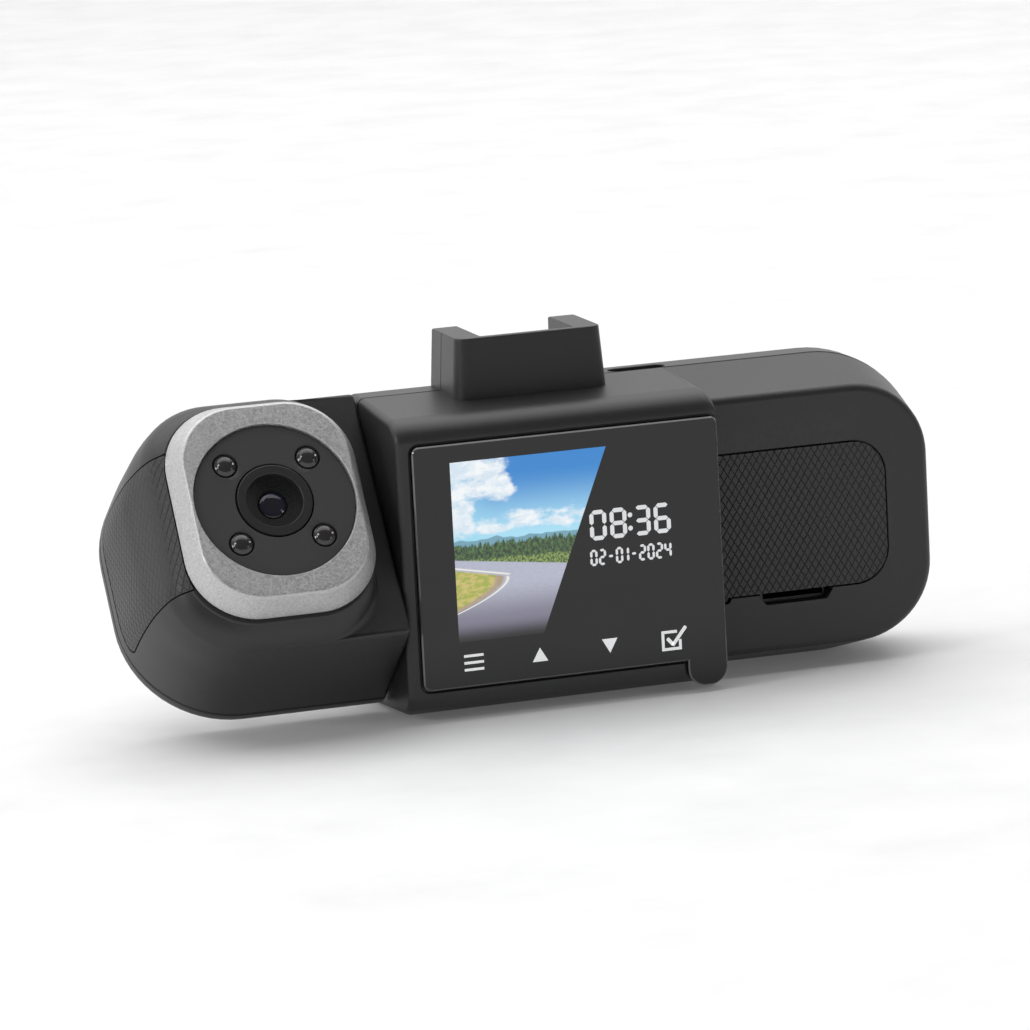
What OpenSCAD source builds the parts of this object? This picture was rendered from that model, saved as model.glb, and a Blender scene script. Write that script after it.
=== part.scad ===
// Dash camera: a fixed body with a touch display and a road camera, and a cabin
// camera pod that swivels on a hollow hub at the body's left end.
// Millimetres. The display faces -Y and +Z is up. The origin is the middle of the
// floor of the mounting shoe, where the windscreen bracket seats.

/* [Body] */
// Half width of the display block
block_half_w = 28.75; // [28.5:0.05:29]
// Height of the display block at its front
block_front_h = 50.5; // [50:0.5:52]
// Draft of the block's top and bottom, degrees
block_draft = 4; // [3:0.5:5]
// Depth of the body from the glass to the rear face
body_depth = 33; // [32.5:0.5:35]
// Depth of the parting line between front and rear shells
seam_y = 22.1; // [22:0.1:22.5]
// Wall thickness of the shells
wall = 1.8; // [1.6:0.1:2]
// Rounding of the rear edges
rear_round = 6; // [5:0.5:6.5]

/* [Wing] */
// Depth at which the wing's front face lies
wing_front_y = 7.5; // [7:0.1:8]
// Height of the wing's front face
wing_front_h = 45.2; // [44:0.2:46]
// Right end of the wing's front face
wing_end_x = 69.8; // [69:0.2:70]
// Right end of the body at the parting line
body_end_x = 73.75; // [73:0.25:75]

/* [Display] */
// Width of the cover glass
glass_w = 54.8; // [54:0.2:55]
// Height of the cover glass without its tab
glass_h = 42.1; // [41.5:0.1:42.5]
// Thickness of the cover glass
glass_t = 1.2; // [1:0.1:1.4]
// Width of the display's picture area
picture_w = 40.8; // [40:0.2:41]

/* [Pod] */
// Pitch of the cabin camera pod, front upwards, degrees
pod_tilt = 36; // [0:1:60]
// Gap between pod and body
pod_gap = 0.35; // [0.3:0.05:0.6]
// Left end of the pod at its widest
pod_end_x = -73.4; // [-74:0.1:-73]
// Height of the pod's front face
pod_front_h = 46; // [45:0.5:47]
// Middle of the cabin camera along the pod
pod_camera_x = -49.85; // [-50.2:0.05:-49.6]
// Lean of the camera face against the pod, top forwards, degrees
face_lean = 2.5; // [0:0.5:3]

/* [Camera faces] */
// Width of a bezel at its front
bezel_w = 29.7; // [29.5:0.1:30]
// Height of a bezel at its front
bezel_h = 35.6; // [35:0.2:36]
// How much wider the bezel is at its base, each side
bezel_flare = 1.7; // [1:0.1:1.8]
// Depth of the cabin bezel
bezel_depth = 4.7; // [4.5:0.1:4.8]
// Radius of the round face plate
face_r = 13.9; // [13.6:0.1:14]
// Distance of each infrared lamp from the centre lines
lamp_offset = 7.2; // [7:0.1:7.3]
// Radius of an infrared lamp
lamp_r = 1.9; // [1.7:0.1:2]

/* [Shoe] */
// Outer width of the mounting shoe
shoe_w = 26.2; // [26:0.1:27]
// Width between the shoe's side walls
shoe_gap = 16.6; // [16:0.1:17.2]
// Depth of the shoe's pocket below its top edge
shoe_pocket = 9.4; // [9:0.1:10]
// Front of the shoe
shoe_front_y = 13.2; // [13:0.1:14]
// Rear of the shoe
shoe_rear_y = 28.2; // [28:0.1:29]

/* [Hub] */
// Outer radius of the swivel hub
hub_r = 7; // [6:0.5:7]
// Radial running clearance of the hub in the body
hub_clear = 0.05; // [0.03:0.01:0.1]
// Radius of the cable way through the hub
hub_bore_r = 4.5; // [3:0.5:5]

/* [Hidden] */
$fn = 48;

slice_t = 0.01;
overshoot = 0.5;
arc_steps = 12;
fit_gap = 0.15;
through = 60;

// Display block
front_y = 0.5;
block_seam_z = block_front_h / 2 + seam_y * tan(block_draft);
edge_depth = 5.5;
edge_start_z = 21.75;
edge_end_z = block_front_h / 2 + (front_y + edge_depth) * tan(block_draft);
body_corner = [20, 19.2];
wing_corner = [13.8, 13];

// Cover glass and its tab
glass_left_x = -26.2;
glass_top_z = 21.2;
tab_x = [21.4, 28.3];
tab_bottom_z = -25.6;
tab_r = 3.2;
lcd_box = [[-22.6, glass_t, -15.3], [24.2, glass_t + 2.6, 20.6]];
picture_x = -19.6;

// Wing face details
inlay_x = [29, 61.8];
inlay_z = [-12.3, 12.7];
inlay_r = 6;
inlay_t = 1;
card_x = 44.5;
card_z = -13.3;
reset_x = 31.4;
reset_z = -12.5;
reset_r = 0.75;

// Shoe
seat_y = (shoe_front_y + shoe_rear_y) / 2;
seat_z = block_seam_z + 0.5;
shoe_top_z = seat_z + shoe_pocket;
shoe_end_t = 1.5;

// Inside the body
board_y = 20.4;
board_t = 1.6;
usb_x = 22.6;
usb_y = board_y + board_t + 1.9;
speaker_x = 4;
speaker_z = -6;
speaker_r = 9;
body_screws = [[-22.3, 17.6], [-22.3, -17.6], [64.5, 13], [64.5, -13]];
board_posts = [[-14, 22.2], [-14, -18.6], [56, 15.6], [56, -15.6]];
screw_seat_y = 26;
road_x = 46;
road_depth = 3.6;

// Swivel hub, whose axis lies in the parting plane
hub_y = seam_y;
hub_flange_r = 8.6;
hub_groove_r = 6.3;

// Pod, described unpitched and turned into place afterwards
pod_right_x = -(block_half_w + pod_gap);
pod_face_y = 6.4;
pod_seam_y = 28.6;
pod_rear_round = 3.2;
pod_back_half_h = pod_front_h / 2 + 1.8;
bezel_base_y = 1.6;
pod_screw_spots = [[-34.6, 17.4], [-34.6, -17.4], [-62.5, 15.5], [-62.5, -15.5]];
pod_inlay_z = 12.4;
pod_inlay_y = [2.2, 26.4];
pod_inlay_x = -65.3;
pod_rib_x = -69.7;
pod_boss_y = 16;
// The pod from its camera face back to its seam, as rows of
// [depth, right x, left x, half height, right corner, left corner, share of the face's lean]
pod_rows = [
  [bezel_base_y + 0.02, -33.3, -66.4, 19.6, 11.8, 11.8, 1],
  [3.4, -33.2, -68.3, 21.4, 11, 12.2, 0.6],
  [5.4, -32.6, -69.4, 22.5, 8, 12.7, 0.2],
  [pod_face_y, pod_right_x, -69.8, pod_front_h / 2, 0.8, 13, 0],
  [14, pod_right_x, -72.1, pod_front_h / 2 + 0.6, 0.8, 16, 0],
  [pod_seam_y, pod_right_x, pod_end_x, pod_back_half_h, 0.8, 19, 0]
];
sensor_z = -12;
sensor_size = [26, 29];
sensor_posts = [[-11, 12.4], [11, 12.4], [-11, -12.4], [11, -12.4]];

// ---- placing helpers ----

// From body coordinates (glass plane at y 0, axis of the block at x 0) to the part's frame
module set_down() {
  translate([0, -seat_y, -seat_z]) children();
}

// The pod turns about the hub's axis
module pitched() {
  set_down()
    translate([0, hub_y, 0]) rotate([-pod_tilt, 0, 0]) translate([0, -hub_y, 0])
      children();
}

// Flat drawing in XZ, made solid from y0 to y1
module along_y(y0, y1) {
  translate([0, y1, 0]) rotate([90, 0, 0]) linear_extrude(y1 - y0) children();
}

// Flat drawing in YZ, made solid from x0 to x1
module along_x(x0, x1) {
  translate([x0, 0, 0]) rotate([90, 0, 90]) linear_extrude(x1 - x0) children();
}

module rod_y(x, z, y0, y1, r) {
  translate([x, y0, z]) rotate([-90, 0, 0]) cylinder(r = r, h = y1 - y0);
}

module rod_x(x0, x1, r) {
  translate([x0, hub_y, 0]) rotate([0, 90, 0]) cylinder(r = r, h = x1 - x0);
}

module box(low, high) {
  translate(low) cube(high - low);
}

// Camera faces are drawn with +Z outwards from the front of the bezel
module on_cabin_face() {
  pitched()
    translate([pod_camera_x, bezel_base_y - bezel_depth, 0])
      rotate([90 + face_lean, 0, 0]) children();
}

module on_road_face() {
  set_down() translate([road_x, body_depth + road_depth, 0]) rotate([-90, 0, 0]) children();
}

// ---- outlines ----

// Half-stadium: straight at x0, with elliptic corners towards x1
function end_outline(x0, x1, half_h, corner, inset = 0) =
  let (
    side = sign(x1 - x0),
    rx = corner[0] - inset,
    rz = corner[1] - inset,
    cx = x1 - side * (inset + rx),
    cz = half_h - inset - rz
  )
  let (points = concat(
    [[x0 + side * inset, -half_h + inset]],
    [for (i = [0 : arc_steps]) let (a = -90 + 90 * i / arc_steps)
      [cx + side * rx * cos(a), -cz + rz * sin(a)]],
    [for (i = [0 : arc_steps]) let (a = 90 * i / arc_steps)
      [cx + side * rx * cos(a), cz + rz * sin(a)]],
    [[x0 + side * inset, half_h - inset]]
  ))
  side > 0 ? points : reversed(points);

// Rectangle from left to right and half_h up and down, with round corners
function round_outline(left, right, half_h, left_r, right_r) =
  [for (q = [0 : 3], i = [0 : arc_steps])
    let (
      a = 90 * (q + i / arc_steps),
      on_right = q == 0 || q == 3,
      r = on_right ? right_r : left_r,
      cx = on_right ? right - r : left + r,
      sz = q < 2 ? 1 : -1
    )
    [cx + r * cos(a), sz * (half_h - r) + r * sin(a)]];

// Side view of the display block, from the front face back to the parting line
function block_profile(inset = 0) =
  let (
    upper = [for (i = [0 : arc_steps]) let (a = 90 * i / arc_steps)
      [front_y + inset + (edge_depth - inset) * (1 - cos(a)),
       edge_start_z + (edge_end_z - inset - edge_start_z) * sin(a)]]
  )
  concat(
    upper,
    [[seam_y, block_seam_z - inset], [seam_y, -block_seam_z + inset]],
    [for (i = [len(upper) - 1 : -1 : 0]) [upper[i][0], -upper[i][1]]]
  );

// An inner form runs on past the parting plane, so that it cuts the shell open there
function past_seam(inset) = inset > 0 ? overshoot : 0;

function reversed(list) = [for (i = [len(list) - 1 : -1 : 0]) list[i]];

// Solid through a row of outlines in XZ that all have the same number of points.
// sections is a list of [depth, outline, slope], each outline anticlockwise seen from the
// front. A section with a slope lies further forwards the higher it is.
module loft(sections) {
  n = len(sections[0][1]);
  last = (len(sections) - 1) * n;
  points = [for (section = sections, p = section[1])
    [p[0], section[0] - (len(section) > 2 ? section[2] * p[1] : 0), p[1]]];
  ends = [[for (i = [n - 1 : -1 : 0]) i], [for (i = [0 : n - 1]) last + i]];
  sides = [for (k = [0 : len(sections) - 2], i = [0 : n - 1], half = [0, 1])
    let (a = k * n + i, b = k * n + (i + 1) % n)
    half == 0 ? [a, b, b + n] : [a, b + n, a + n]];
  polyhedron(points, concat(ends, sides));
}

// ---- body shells ----

module wing_front_form(inset = 0) {
  loft([
    [wing_front_y + inset,
     end_outline(0, wing_end_x, wing_front_h / 2, wing_corner, inset)],
    [seam_y + past_seam(inset),
     end_outline(0, body_end_x, block_seam_z, body_corner, inset)]
  ]);
}

// Back half of a shell: straight behind its seam, then rounded in to a flat rear face
module back_form(x0, x1, half_h, start_y, round_r, inset) {
  turn_r = round_r - inset;
  loft(concat(
    [[start_y - past_seam(inset), end_outline(x0, x1, half_h, body_corner, inset)]],
    [for (a = [0 : 15 : 90])
      let (
        in = inset + turn_r * (1 - cos(a)),
        corner = [body_corner[0] - in, body_corner[1] - in],
        side = sign(x1 - x0)
      )
      [body_depth - round_r + turn_r * sin(a),
       end_outline(x0 + side * inset, x1 - side * in, half_h - in, corner)]]
  ));
}

module rear_form(inset = 0) {
  back_form(-block_half_w, body_end_x, block_seam_z, seam_y, rear_round, inset);
}

module shoe_solid() {
  difference() {
    box([-shoe_w / 2, shoe_front_y, block_seam_z - 1.5], [shoe_w / 2, shoe_rear_y, shoe_top_z]);
    box([-shoe_gap / 2, shoe_front_y + shoe_end_t, seat_z],
        [shoe_gap / 2, shoe_rear_y + 1, shoe_top_z + 1]);
  }
}

module glass_outline(grow = 0) {
  offset_r = 1.3 + grow;
  left = glass_left_x - grow;
  right = glass_left_x + glass_w + grow;
  top = glass_top_z + grow;
  bottom = glass_top_z - glass_h - grow;
  translate([left + offset_r, bottom + offset_r]) circle(offset_r);
  translate([left + offset_r, top - offset_r]) circle(offset_r);
  translate([left, bottom + offset_r]) square([right - left, top - bottom - 2 * offset_r]);
  translate([left + offset_r, bottom]) square([right - left - offset_r, top - bottom]);
}

module tab_outline(grow = 0) {
  translate([tab_x[0] - grow, tab_bottom_z + tab_r]) square([tab_x[1] - tab_x[0] + 2 * grow, 8]);
  for (x = [tab_x[0] + tab_r, tab_x[1] - tab_r]) {
    translate([x, tab_bottom_z + tab_r]) circle(tab_r + grow);
  }
  translate([tab_x[0] + tab_r, tab_bottom_z - grow]) square([tab_x[1] - tab_x[0] - 2 * tab_r, 8]);
}

module inlay_outline(grow = 0) {
  r = inlay_r + grow;
  left = inlay_x[0] - grow;
  right = inlay_x[1] + grow;
  low = inlay_z[0] - grow;
  high = inlay_z[1] + grow;
  for (z = [low + r, high - r]) {
    translate([right - r, z]) circle(r);
  }
  translate([left, low]) square([right - r - left, high - low]);
  translate([left, low + r]) square([right - left, high - low - 2 * r]);
}

// Mouth of the card slot: wider against the inlay than at its foot
module card_mouth_outline() {
  polygon([[card_x - 6.8, inlay_z[0] + 0.5], [card_x - 6.8, inlay_z[0]], [card_x - 5.1, -14.3],
           [card_x + 5.1, -14.3], [card_x + 6.8, inlay_z[0]], [card_x + 6.8, inlay_z[0] + 0.5]]);
}

module front_shell() {
  color("#3a3a3c") set_down() {
    difference() {
      union() {
        along_x(-block_half_w, block_half_w) polygon(block_profile());
        wing_front_form();
        intersection() {
          shoe_solid();
          box([-through, 0, 0], [through, seam_y, through]);
        }
        along_y(glass_t, 7) translate([0.1, 0.1]) tab_outline(-0.2);
      }
      along_x(-block_half_w + wall, block_half_w - wall) polygon(block_profile(wall));
      intersection() {
        wing_front_form(wall);
        box([0, 0, -through], [through * 2, seam_y + 1, through]);
      }
      along_y(front_y - 1, glass_t) glass_outline(fit_gap + 0.15);
      box([glass_left_x + glass_w - 1, front_y - 1, glass_top_z - glass_h],
          [block_half_w + 1, glass_t, glass_top_z]);
      along_y(front_y - 1, glass_t) tab_outline(fit_gap);
      box(lcd_box[0] - [0.3, 1, 0.3], lcd_box[1] + [0.3, 0.3, 0.3]);
      along_y(wing_front_y - 1, wing_front_y + inlay_t) inlay_outline(0.25);
      along_y(wing_front_y - 1, wing_front_y + wall + 1) card_mouth_outline();
      rod_y(reset_x, reset_z, wing_front_y - 1, wing_front_y + wall + 1, reset_r + 0.05);
      rod_x(-block_half_w - 1, -block_half_w + wall + 1, hub_r + hub_clear);
    }
    front_bosses();
  }
}

module front_bosses() {
  for (spot = body_screws) {
    start_y = spot[0] > 0 ? wing_front_y + 1 : 6;
    difference() {
      union() {
        rod_y(spot[0], spot[1], start_y, seam_y, 2.7);
        if (spot[0] < 0) {
          box([-block_half_w + 1, start_y, spot[1] - 0.8], [spot[0], seam_y, spot[1] + 0.8]);
        }
      }
      rod_y(spot[0], spot[1], start_y + 3, seam_y + 1, 1.02);
    }
  }
  for (spot = board_posts) {
    start_y = spot[0] > 0 ? wing_front_y + 1 : (spot[1] > 0 ? 5.5 : 1.6);
    rod_y(spot[0], spot[1], start_y, board_y, 1.7);
  }
}

module rear_shell() {
  color("#39393b") set_down() {
    difference() {
      union() {
        difference() {
          rear_form();
          rear_form(wall);
          box([-block_half_w + wall, seam_y - 1, -20], [0, seam_y + 0.5, 20]);
        }
        intersection() {
          shoe_solid();
          box([-through, seam_y, 0], [through, through, through]);
        }
        for (spot = body_screws) {
          rod_y(spot[0], spot[1], seam_y, body_depth - 1, 3.2);
        }
        for (spot = sensor_posts) {
          rod_y(road_x + spot[0], spot[1], body_depth + road_depth + sensor_z, body_depth - 1, 1.6);
        }
      }
      for (spot = body_screws) {
        rod_y(spot[0], spot[1], seam_y - 1, body_depth + 1, 1.15);
        rod_y(spot[0], spot[1], screw_seat_y, body_depth + 1, 2.2);
      }
      rod_y(road_x, 0, body_depth - wall - 1, body_depth + 1, 12.8);
      rod_x(-block_half_w - 1, -block_half_w + wall + 1, hub_r + hub_clear);
      translate([usb_x, usb_y, block_seam_z - 5]) usb_outline_solid(0.3, 10);
      for (row = [-2 : 2], side = [-1, 1]) {
        translate([speaker_x + side * 3.4, 0, speaker_z + row * 2.4])
          along_y(body_depth - wall - 1, body_depth + 1) slot_outline(5, 1.1);
      }
    }
  }
}

module slot_outline(length, width) {
  square([length - width, width], center = true);
  for (side = [-1, 1]) {
    translate([side * (length - width) / 2, 0]) circle(d = width);
  }
}

// Stadium section of a USB-C shell, standing along Z
module usb_outline_solid(grow, height) {
  linear_extrude(height) slot_outline(8.94 + 2 * grow, 3.26 + 2 * grow);
}

// ---- display and electronics ----

module screen_glass() {
  color("#141416") set_down() along_y(0, glass_t) {
    glass_outline();
    tab_outline();
  }
}

module lcd_module() {
  color("#9aa0a6") set_down() difference() {
    box(lcd_box[0], lcd_box[1]);
    translate([picture_x, glass_t - 0.9, 18 - picture_w * 0.75])
      cube([picture_w, 1, picture_w * 0.75]);
  }
}

module wing_inlay() {
  color("#333335") set_down() difference() {
    along_y(wing_front_y, wing_front_y + inlay_t) inlay_outline();
    rod_y(reset_x, reset_z, wing_front_y - 1, wing_front_y + inlay_t + 1, reset_r + 0.2);
  }
}

module main_board() {
  color("#1f6b3a") set_down() {
    box([-17, board_y, -21], [26, board_y + board_t, 23.4]);
    box([25, board_y, -18.5], [60, board_y + board_t, 18.5]);
    box([27, board_y - 1.4, -6], [39, board_y, 6]);
    box([42, board_y - 1.1, 3], [52, board_y, 13]);
    box([-9, board_y + board_t, 6], [0, board_y + board_t + 1.2, 15]);
  }
}

module battery() {
  color("#c9c9cf") set_down() difference() {
    box([-11, board_y - 5.4, -14], [23, board_y, 16]);
    for (z = [-14, 16]) {
      translate([-12, board_y - 5.4, z]) rotate([45, 0, 0]) cube([36, 1.4, 1.4], center = false);
    }
  }
}

module speaker() {
  color("#55555a") set_down() {
    inner_y = body_depth - wall;
    difference() {
      rod_y(speaker_x, speaker_z, inner_y - 3.6, inner_y, speaker_r);
      rod_y(speaker_x, speaker_z, inner_y - 0.9, inner_y + 1, speaker_r - 1.2);
    }
    rod_y(speaker_x, speaker_z, inner_y - 5, inner_y - 3.6, 5);
  }
}

module usb_c_receptacle() {
  color("#b9bcc0") set_down() translate([usb_x, usb_y, 0]) difference() {
    union() {
      translate([0, 0, block_seam_z - 8.4]) usb_outline_solid(0, 7.4);
      translate([-4.2, -1.9, block_seam_z - 8.4]) cube([8.4, 1.9, 6]);
    }
    translate([0, 0, block_seam_z - 7.4]) difference() {
      usb_outline_solid(-0.35, 8);
      translate([-3.35, -0.35, -1]) cube([6.7, 0.7, 6.5]);
    }
  }
}

module microsd_socket() {
  color("#c4c6c9") set_down() difference() {
    box([card_x - 6, wing_front_y + wall + 0.4, card_z - 1.1], [card_x + 6, board_y, card_z + 1.1]);
    box([card_x - 5.55, wing_front_y, card_z - 0.5], [card_x + 5.55, board_y - 1, card_z + 0.5]);
  }
}

module reset_switch() {
  color("#2b2b2e") set_down() difference() {
    box([reset_x - 2.2, board_y - 3, reset_z - 2.2], [reset_x + 2.2, board_y, reset_z + 2.2]);
    rod_y(reset_x, reset_z, board_y - 4, board_y - 1, 1.05);
  }
}

module reset_button() {
  color("#d8d8da") set_down() {
    rod_y(reset_x, reset_z, wing_front_y + 0.7, board_y - 1.6, reset_r);
    rod_y(reset_x, reset_z, board_y - 4.6, board_y - 3.5, 1.3);
  }
}

module pan_screw(x, z, seat, length) {
  difference() {
    rod_y(x, z, seat, seat + 1.4, 1.9);
    translate([x, seat + 1.1, z]) {
      cube([2.2, 1.2, 0.5], center = true);
      cube([0.5, 1.2, 2.2], center = true);
    }
  }
  rod_y(x, z, seat - length, seat, 1);
}

module shell_screws() {
  color("#8d9095") set_down() for (spot = body_screws) {
    pan_screw(spot[0], spot[1], screw_seat_y, 10);
  }
}

// ---- camera faces, shared by the road camera and the cabin camera ----

function bezel_outline(grow, r) =
  round_outline(-bezel_w / 2 - grow, bezel_w / 2 + grow, bezel_h / 2 + grow, r, r);

module bezel_form(depth) {
  difference() {
    hull() {
      translate([0, 0, -slice_t]) linear_extrude(slice_t)
        polygon(bezel_outline(-0.6, 9.8));
      translate([0, 0, -0.6]) linear_extrude(slice_t)
        polygon(bezel_outline(0, 10.4));
      translate([0, 0, -depth]) linear_extrude(slice_t)
        polygon(bezel_outline(bezel_flare, 11.8));
    }
    translate([0, 0, -2.4]) cylinder(r = face_r + 0.05, h = 4);
    translate([0, 0, -depth - 1]) cylinder(r = 12.6, h = depth + 2);
  }
}

module face_plate(lamps, hole_r) {
  difference() {
    union() {
      translate([0, 0, -2.4]) cylinder(r = face_r, h = 1.8);
      if (lamps) {
        for (a = [0, 90, 180, 270]) {
          rotate(a) translate([10.2, 0, -3.4]) cylinder(r = 0.8, h = 1.1);
        }
      }
    }
    translate([0, 0, -5]) cylinder(r = hole_r, h = 6);
    if (lamps) {
      for (x = [-1, 1], y = [-1, 1]) {
        translate([x * lamp_offset, y * lamp_offset, -5]) cylinder(r = lamp_r + 0.15, h = 6);
      }
    }
  }
}

// Ring round the lens, with a funnel that narrows to the glass
module lens_ring(outer_r, mouth_r, throat_r) {
  rotate_extrude() polygon([[throat_r, -2.4], [outer_r, -2.4], [outer_r, -0.5],
                            [outer_r - 0.3, -0.3], [mouth_r, -0.3]]);
}

module lens_barrel(outer_r, glass_r) {
  difference() {
    translate([0, 0, sensor_z]) cylinder(r = outer_r, h = -2.4 - sensor_z);
    translate([0, 0, -4.2]) cylinder(r = glass_r + 0.02, h = 3);
    translate([0, 0, sensor_z + 1.5]) cylinder(r = glass_r - 1.2, h = 9);
  }
}

module lens_glass(r) {
  intersection() {
    translate([0, 0, -4.2]) cylinder(r = r, h = 2.4);
    translate([0, 0, -2.2 - 1.6 * r]) sphere(r = 1.6 * r, $fn = 64);
  }
}

module sensor_board() {
  translate([0, 0, sensor_z - 0.6]) cube([sensor_size[0], sensor_size[1], 1.2], center = true);
  translate([0, 0, sensor_z - 1.7]) cube([9, 9, 1.2], center = true);
}

module road_bezel() {
  color("#9c9c9e") on_road_face() bezel_form(road_depth);
}

module road_face_plate() {
  color("#1c1c1e") on_road_face() face_plate(false, 8.7);
}

module road_lens_ring() {
  color("#2a2a2c") on_road_face() lens_ring(8.5, 7, 5.6);
}

module road_lens_barrel() {
  color("#222224") on_road_face() lens_barrel(8, 5.8);
}

module road_lens_glass() {
  color("#26304a") on_road_face() lens_glass(5.8);
}

module road_sensor_board() {
  color("#1f6b3a") on_road_face() sensor_board();
}

module cabin_bezel() {
  color("#a6a6a8") on_cabin_face() bezel_form(bezel_depth);
}

module cabin_face_plate() {
  color("#202022") on_cabin_face() face_plate(true, 6.7);
}

module cabin_lens_ring() {
  color("#2c2c2e") on_cabin_face() lens_ring(6.5, 4.9, 4);
}

module cabin_lens_barrel() {
  color("#222224") on_cabin_face() lens_barrel(6.2, 4.1);
}

module cabin_lens_glass() {
  color("#26304a") on_cabin_face() lens_glass(4.1);
}

module cabin_sensor_board() {
  color("#1f6b3a") on_cabin_face() sensor_board();
}

module infrared_lamps() {
  color("#4a4148") on_cabin_face() for (x = [-1, 1], y = [-1, 1]) {
    translate([x * lamp_offset, y * lamp_offset, 0]) {
      translate([0, 0, -3.4]) cylinder(r = lamp_r, h = 2.1);
      translate([0, 0, -1.3]) intersection() {
        translate([0, 0, -0.6]) sphere(r = lamp_r, $fn = 32);
        cylinder(r = lamp_r, h = 2);
      }
    }
  }
}

module lamp_board() {
  color("#1f6b3a") on_cabin_face() difference() {
    translate([0, 0, -4.4]) cylinder(r = 12.4, h = 1);
    translate([0, 0, -5]) cylinder(r = 6.4, h = 3);
  }
}

// ---- swivel ----

module swivel_hub() {
  color("#2f2f31") set_down() difference() {
    union() {
      rod_x(pod_right_x - wall - 2.3, pod_right_x - wall, hub_flange_r);
      rod_x(pod_right_x - wall - 0.1, -23.6, hub_r);
    }
    rod_x(pod_right_x - wall - 3, -23, hub_bore_r);
    difference() {
      rod_x(-25.55, -24.45, hub_r + 1);
      rod_x(-26, -24, hub_groove_r);
    }
  }
}

module hub_clip() {
  color("#b0b2b6") set_down() difference() {
    rod_x(-25.5, -24.5, 8.9);
    rod_x(-26, -24, hub_groove_r);
    box([-26, hub_y + 4, -2.4], [-24, hub_y + 12, 2.4]);
  }
}

module hub_washer() {
  color("#cfd0d2") set_down() difference() {
    rod_x(-block_half_w + wall + 0.05, -25.5, 8.7);
    rod_x(-28, -25, hub_r + 0.05);
  }
}

// ---- pod ----

module pod_form(inset = 0) {
  rear = len(pod_rows) - 1;
  loft([for (i = [0 : rear])
    let (row = pod_rows[i], shift = i == rear ? past_seam(inset) : inset)
    [row[0] + shift,
     round_outline(row[2] + inset, row[1] - inset, row[3] - inset,
                   row[5] - inset, max(row[4] - inset, 0.4)),
     row[6] * tan(face_lean)]]);
}

module pod_inlay_space(grow = 0) {
  box([-through * 2, pod_inlay_y[0] - grow, -pod_inlay_z - grow],
      [pod_inlay_x, pod_inlay_y[1] + grow, pod_inlay_z + grow]);
}

module pod_front_shell() {
  color("#3a3a3c") pitched() {
    difference() {
      pod_form();
      pod_form(wall);
      rod_y(pod_camera_x, 0, -5, bezel_base_y + wall + 1, 12.8);
      rod_x(pod_right_x - wall - 1, pod_right_x + 1, hub_r);
      difference() {
        pod_inlay_space(0.2);
        pod_form(1);
      }
    }
    pod_bosses();
  }
  color("#3a3a3c") on_cabin_face() for (spot = sensor_posts) {
    translate([spot[0], spot[1], sensor_z]) cylinder(r = 1.6, h = -sensor_z - bezel_depth - 0.6);
  }
}

// The outer bosses hang on ribs, above and below the inlay
module pod_bosses() {
  for (spot = pod_screw_spots) {
    outer = spot[0] < -40;
    start_y = outer ? pod_boss_y : pod_face_y + 1;
    difference() {
      union() {
        rod_y(spot[0], spot[1], start_y, pod_seam_y, 2.5);
        if (outer) {
          box([pod_rib_x, start_y, spot[1] - 0.8], [spot[0], pod_seam_y, spot[1] + 0.8]);
        }
      }
      rod_y(spot[0], spot[1], pod_seam_y - 7.5, pod_seam_y + 1, 1.02);
    }
  }
}

module pod_rear_form(inset = 0) {
  back_form(pod_right_x, pod_end_x, pod_back_half_h, pod_seam_y, pod_rear_round, inset);
}

module pod_rear_cover() {
  color("#39393b") pitched() difference() {
    union() {
      difference() {
        pod_rear_form();
        pod_rear_form(wall);
      }
      for (spot = pod_screw_spots) {
        rod_y(spot[0], spot[1], pod_seam_y, body_depth - 1, 2.8);
      }
    }
    for (spot = pod_screw_spots) {
      rod_y(spot[0], spot[1], pod_seam_y - 1, body_depth + 1, 1.15);
      rod_y(spot[0], spot[1], pod_seam_y + 1.2, body_depth + 1, 2.1);
    }
    rod_x(pod_right_x - wall - 1, pod_right_x + 1, hub_r);
  }
}

module pod_inlay() {
  color("#333335") pitched() intersection() {
    pod_inlay_space();
    difference() {
      pod_form(0.02);
      pod_form(1);
    }
  }
}

module pod_screws() {
  color("#8d9095") pitched() for (spot = pod_screw_spots) {
    pan_screw(spot[0], spot[1], pod_seam_y + 1.2, 8);
  }
}

front_shell();
rear_shell();
screen_glass();
lcd_module();
wing_inlay();
main_board();
battery();
speaker();
usb_c_receptacle();
microsd_socket();
reset_switch();
reset_button();
shell_screws();
road_bezel();
road_face_plate();
road_lens_ring();
road_lens_barrel();
road_lens_glass();
road_sensor_board();
swivel_hub();
hub_clip();
hub_washer();
pod_front_shell();
pod_rear_cover();
pod_inlay();
pod_screws();
cabin_bezel();
cabin_face_plate();
infrared_lamps();
lamp_board();
cabin_lens_ring();
cabin_lens_barrel();
cabin_lens_glass();
cabin_sensor_board();
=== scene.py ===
# Dash camera: the looks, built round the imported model.
# Sizes in the builders are millimetres in the body's own frame, where the glass lies in
# the plane y 0, the display block's axis at x 0 and z 0. Pieces end up in metres.
import math

import bmesh
import bpy
from mathutils import Matrix, Vector


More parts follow.
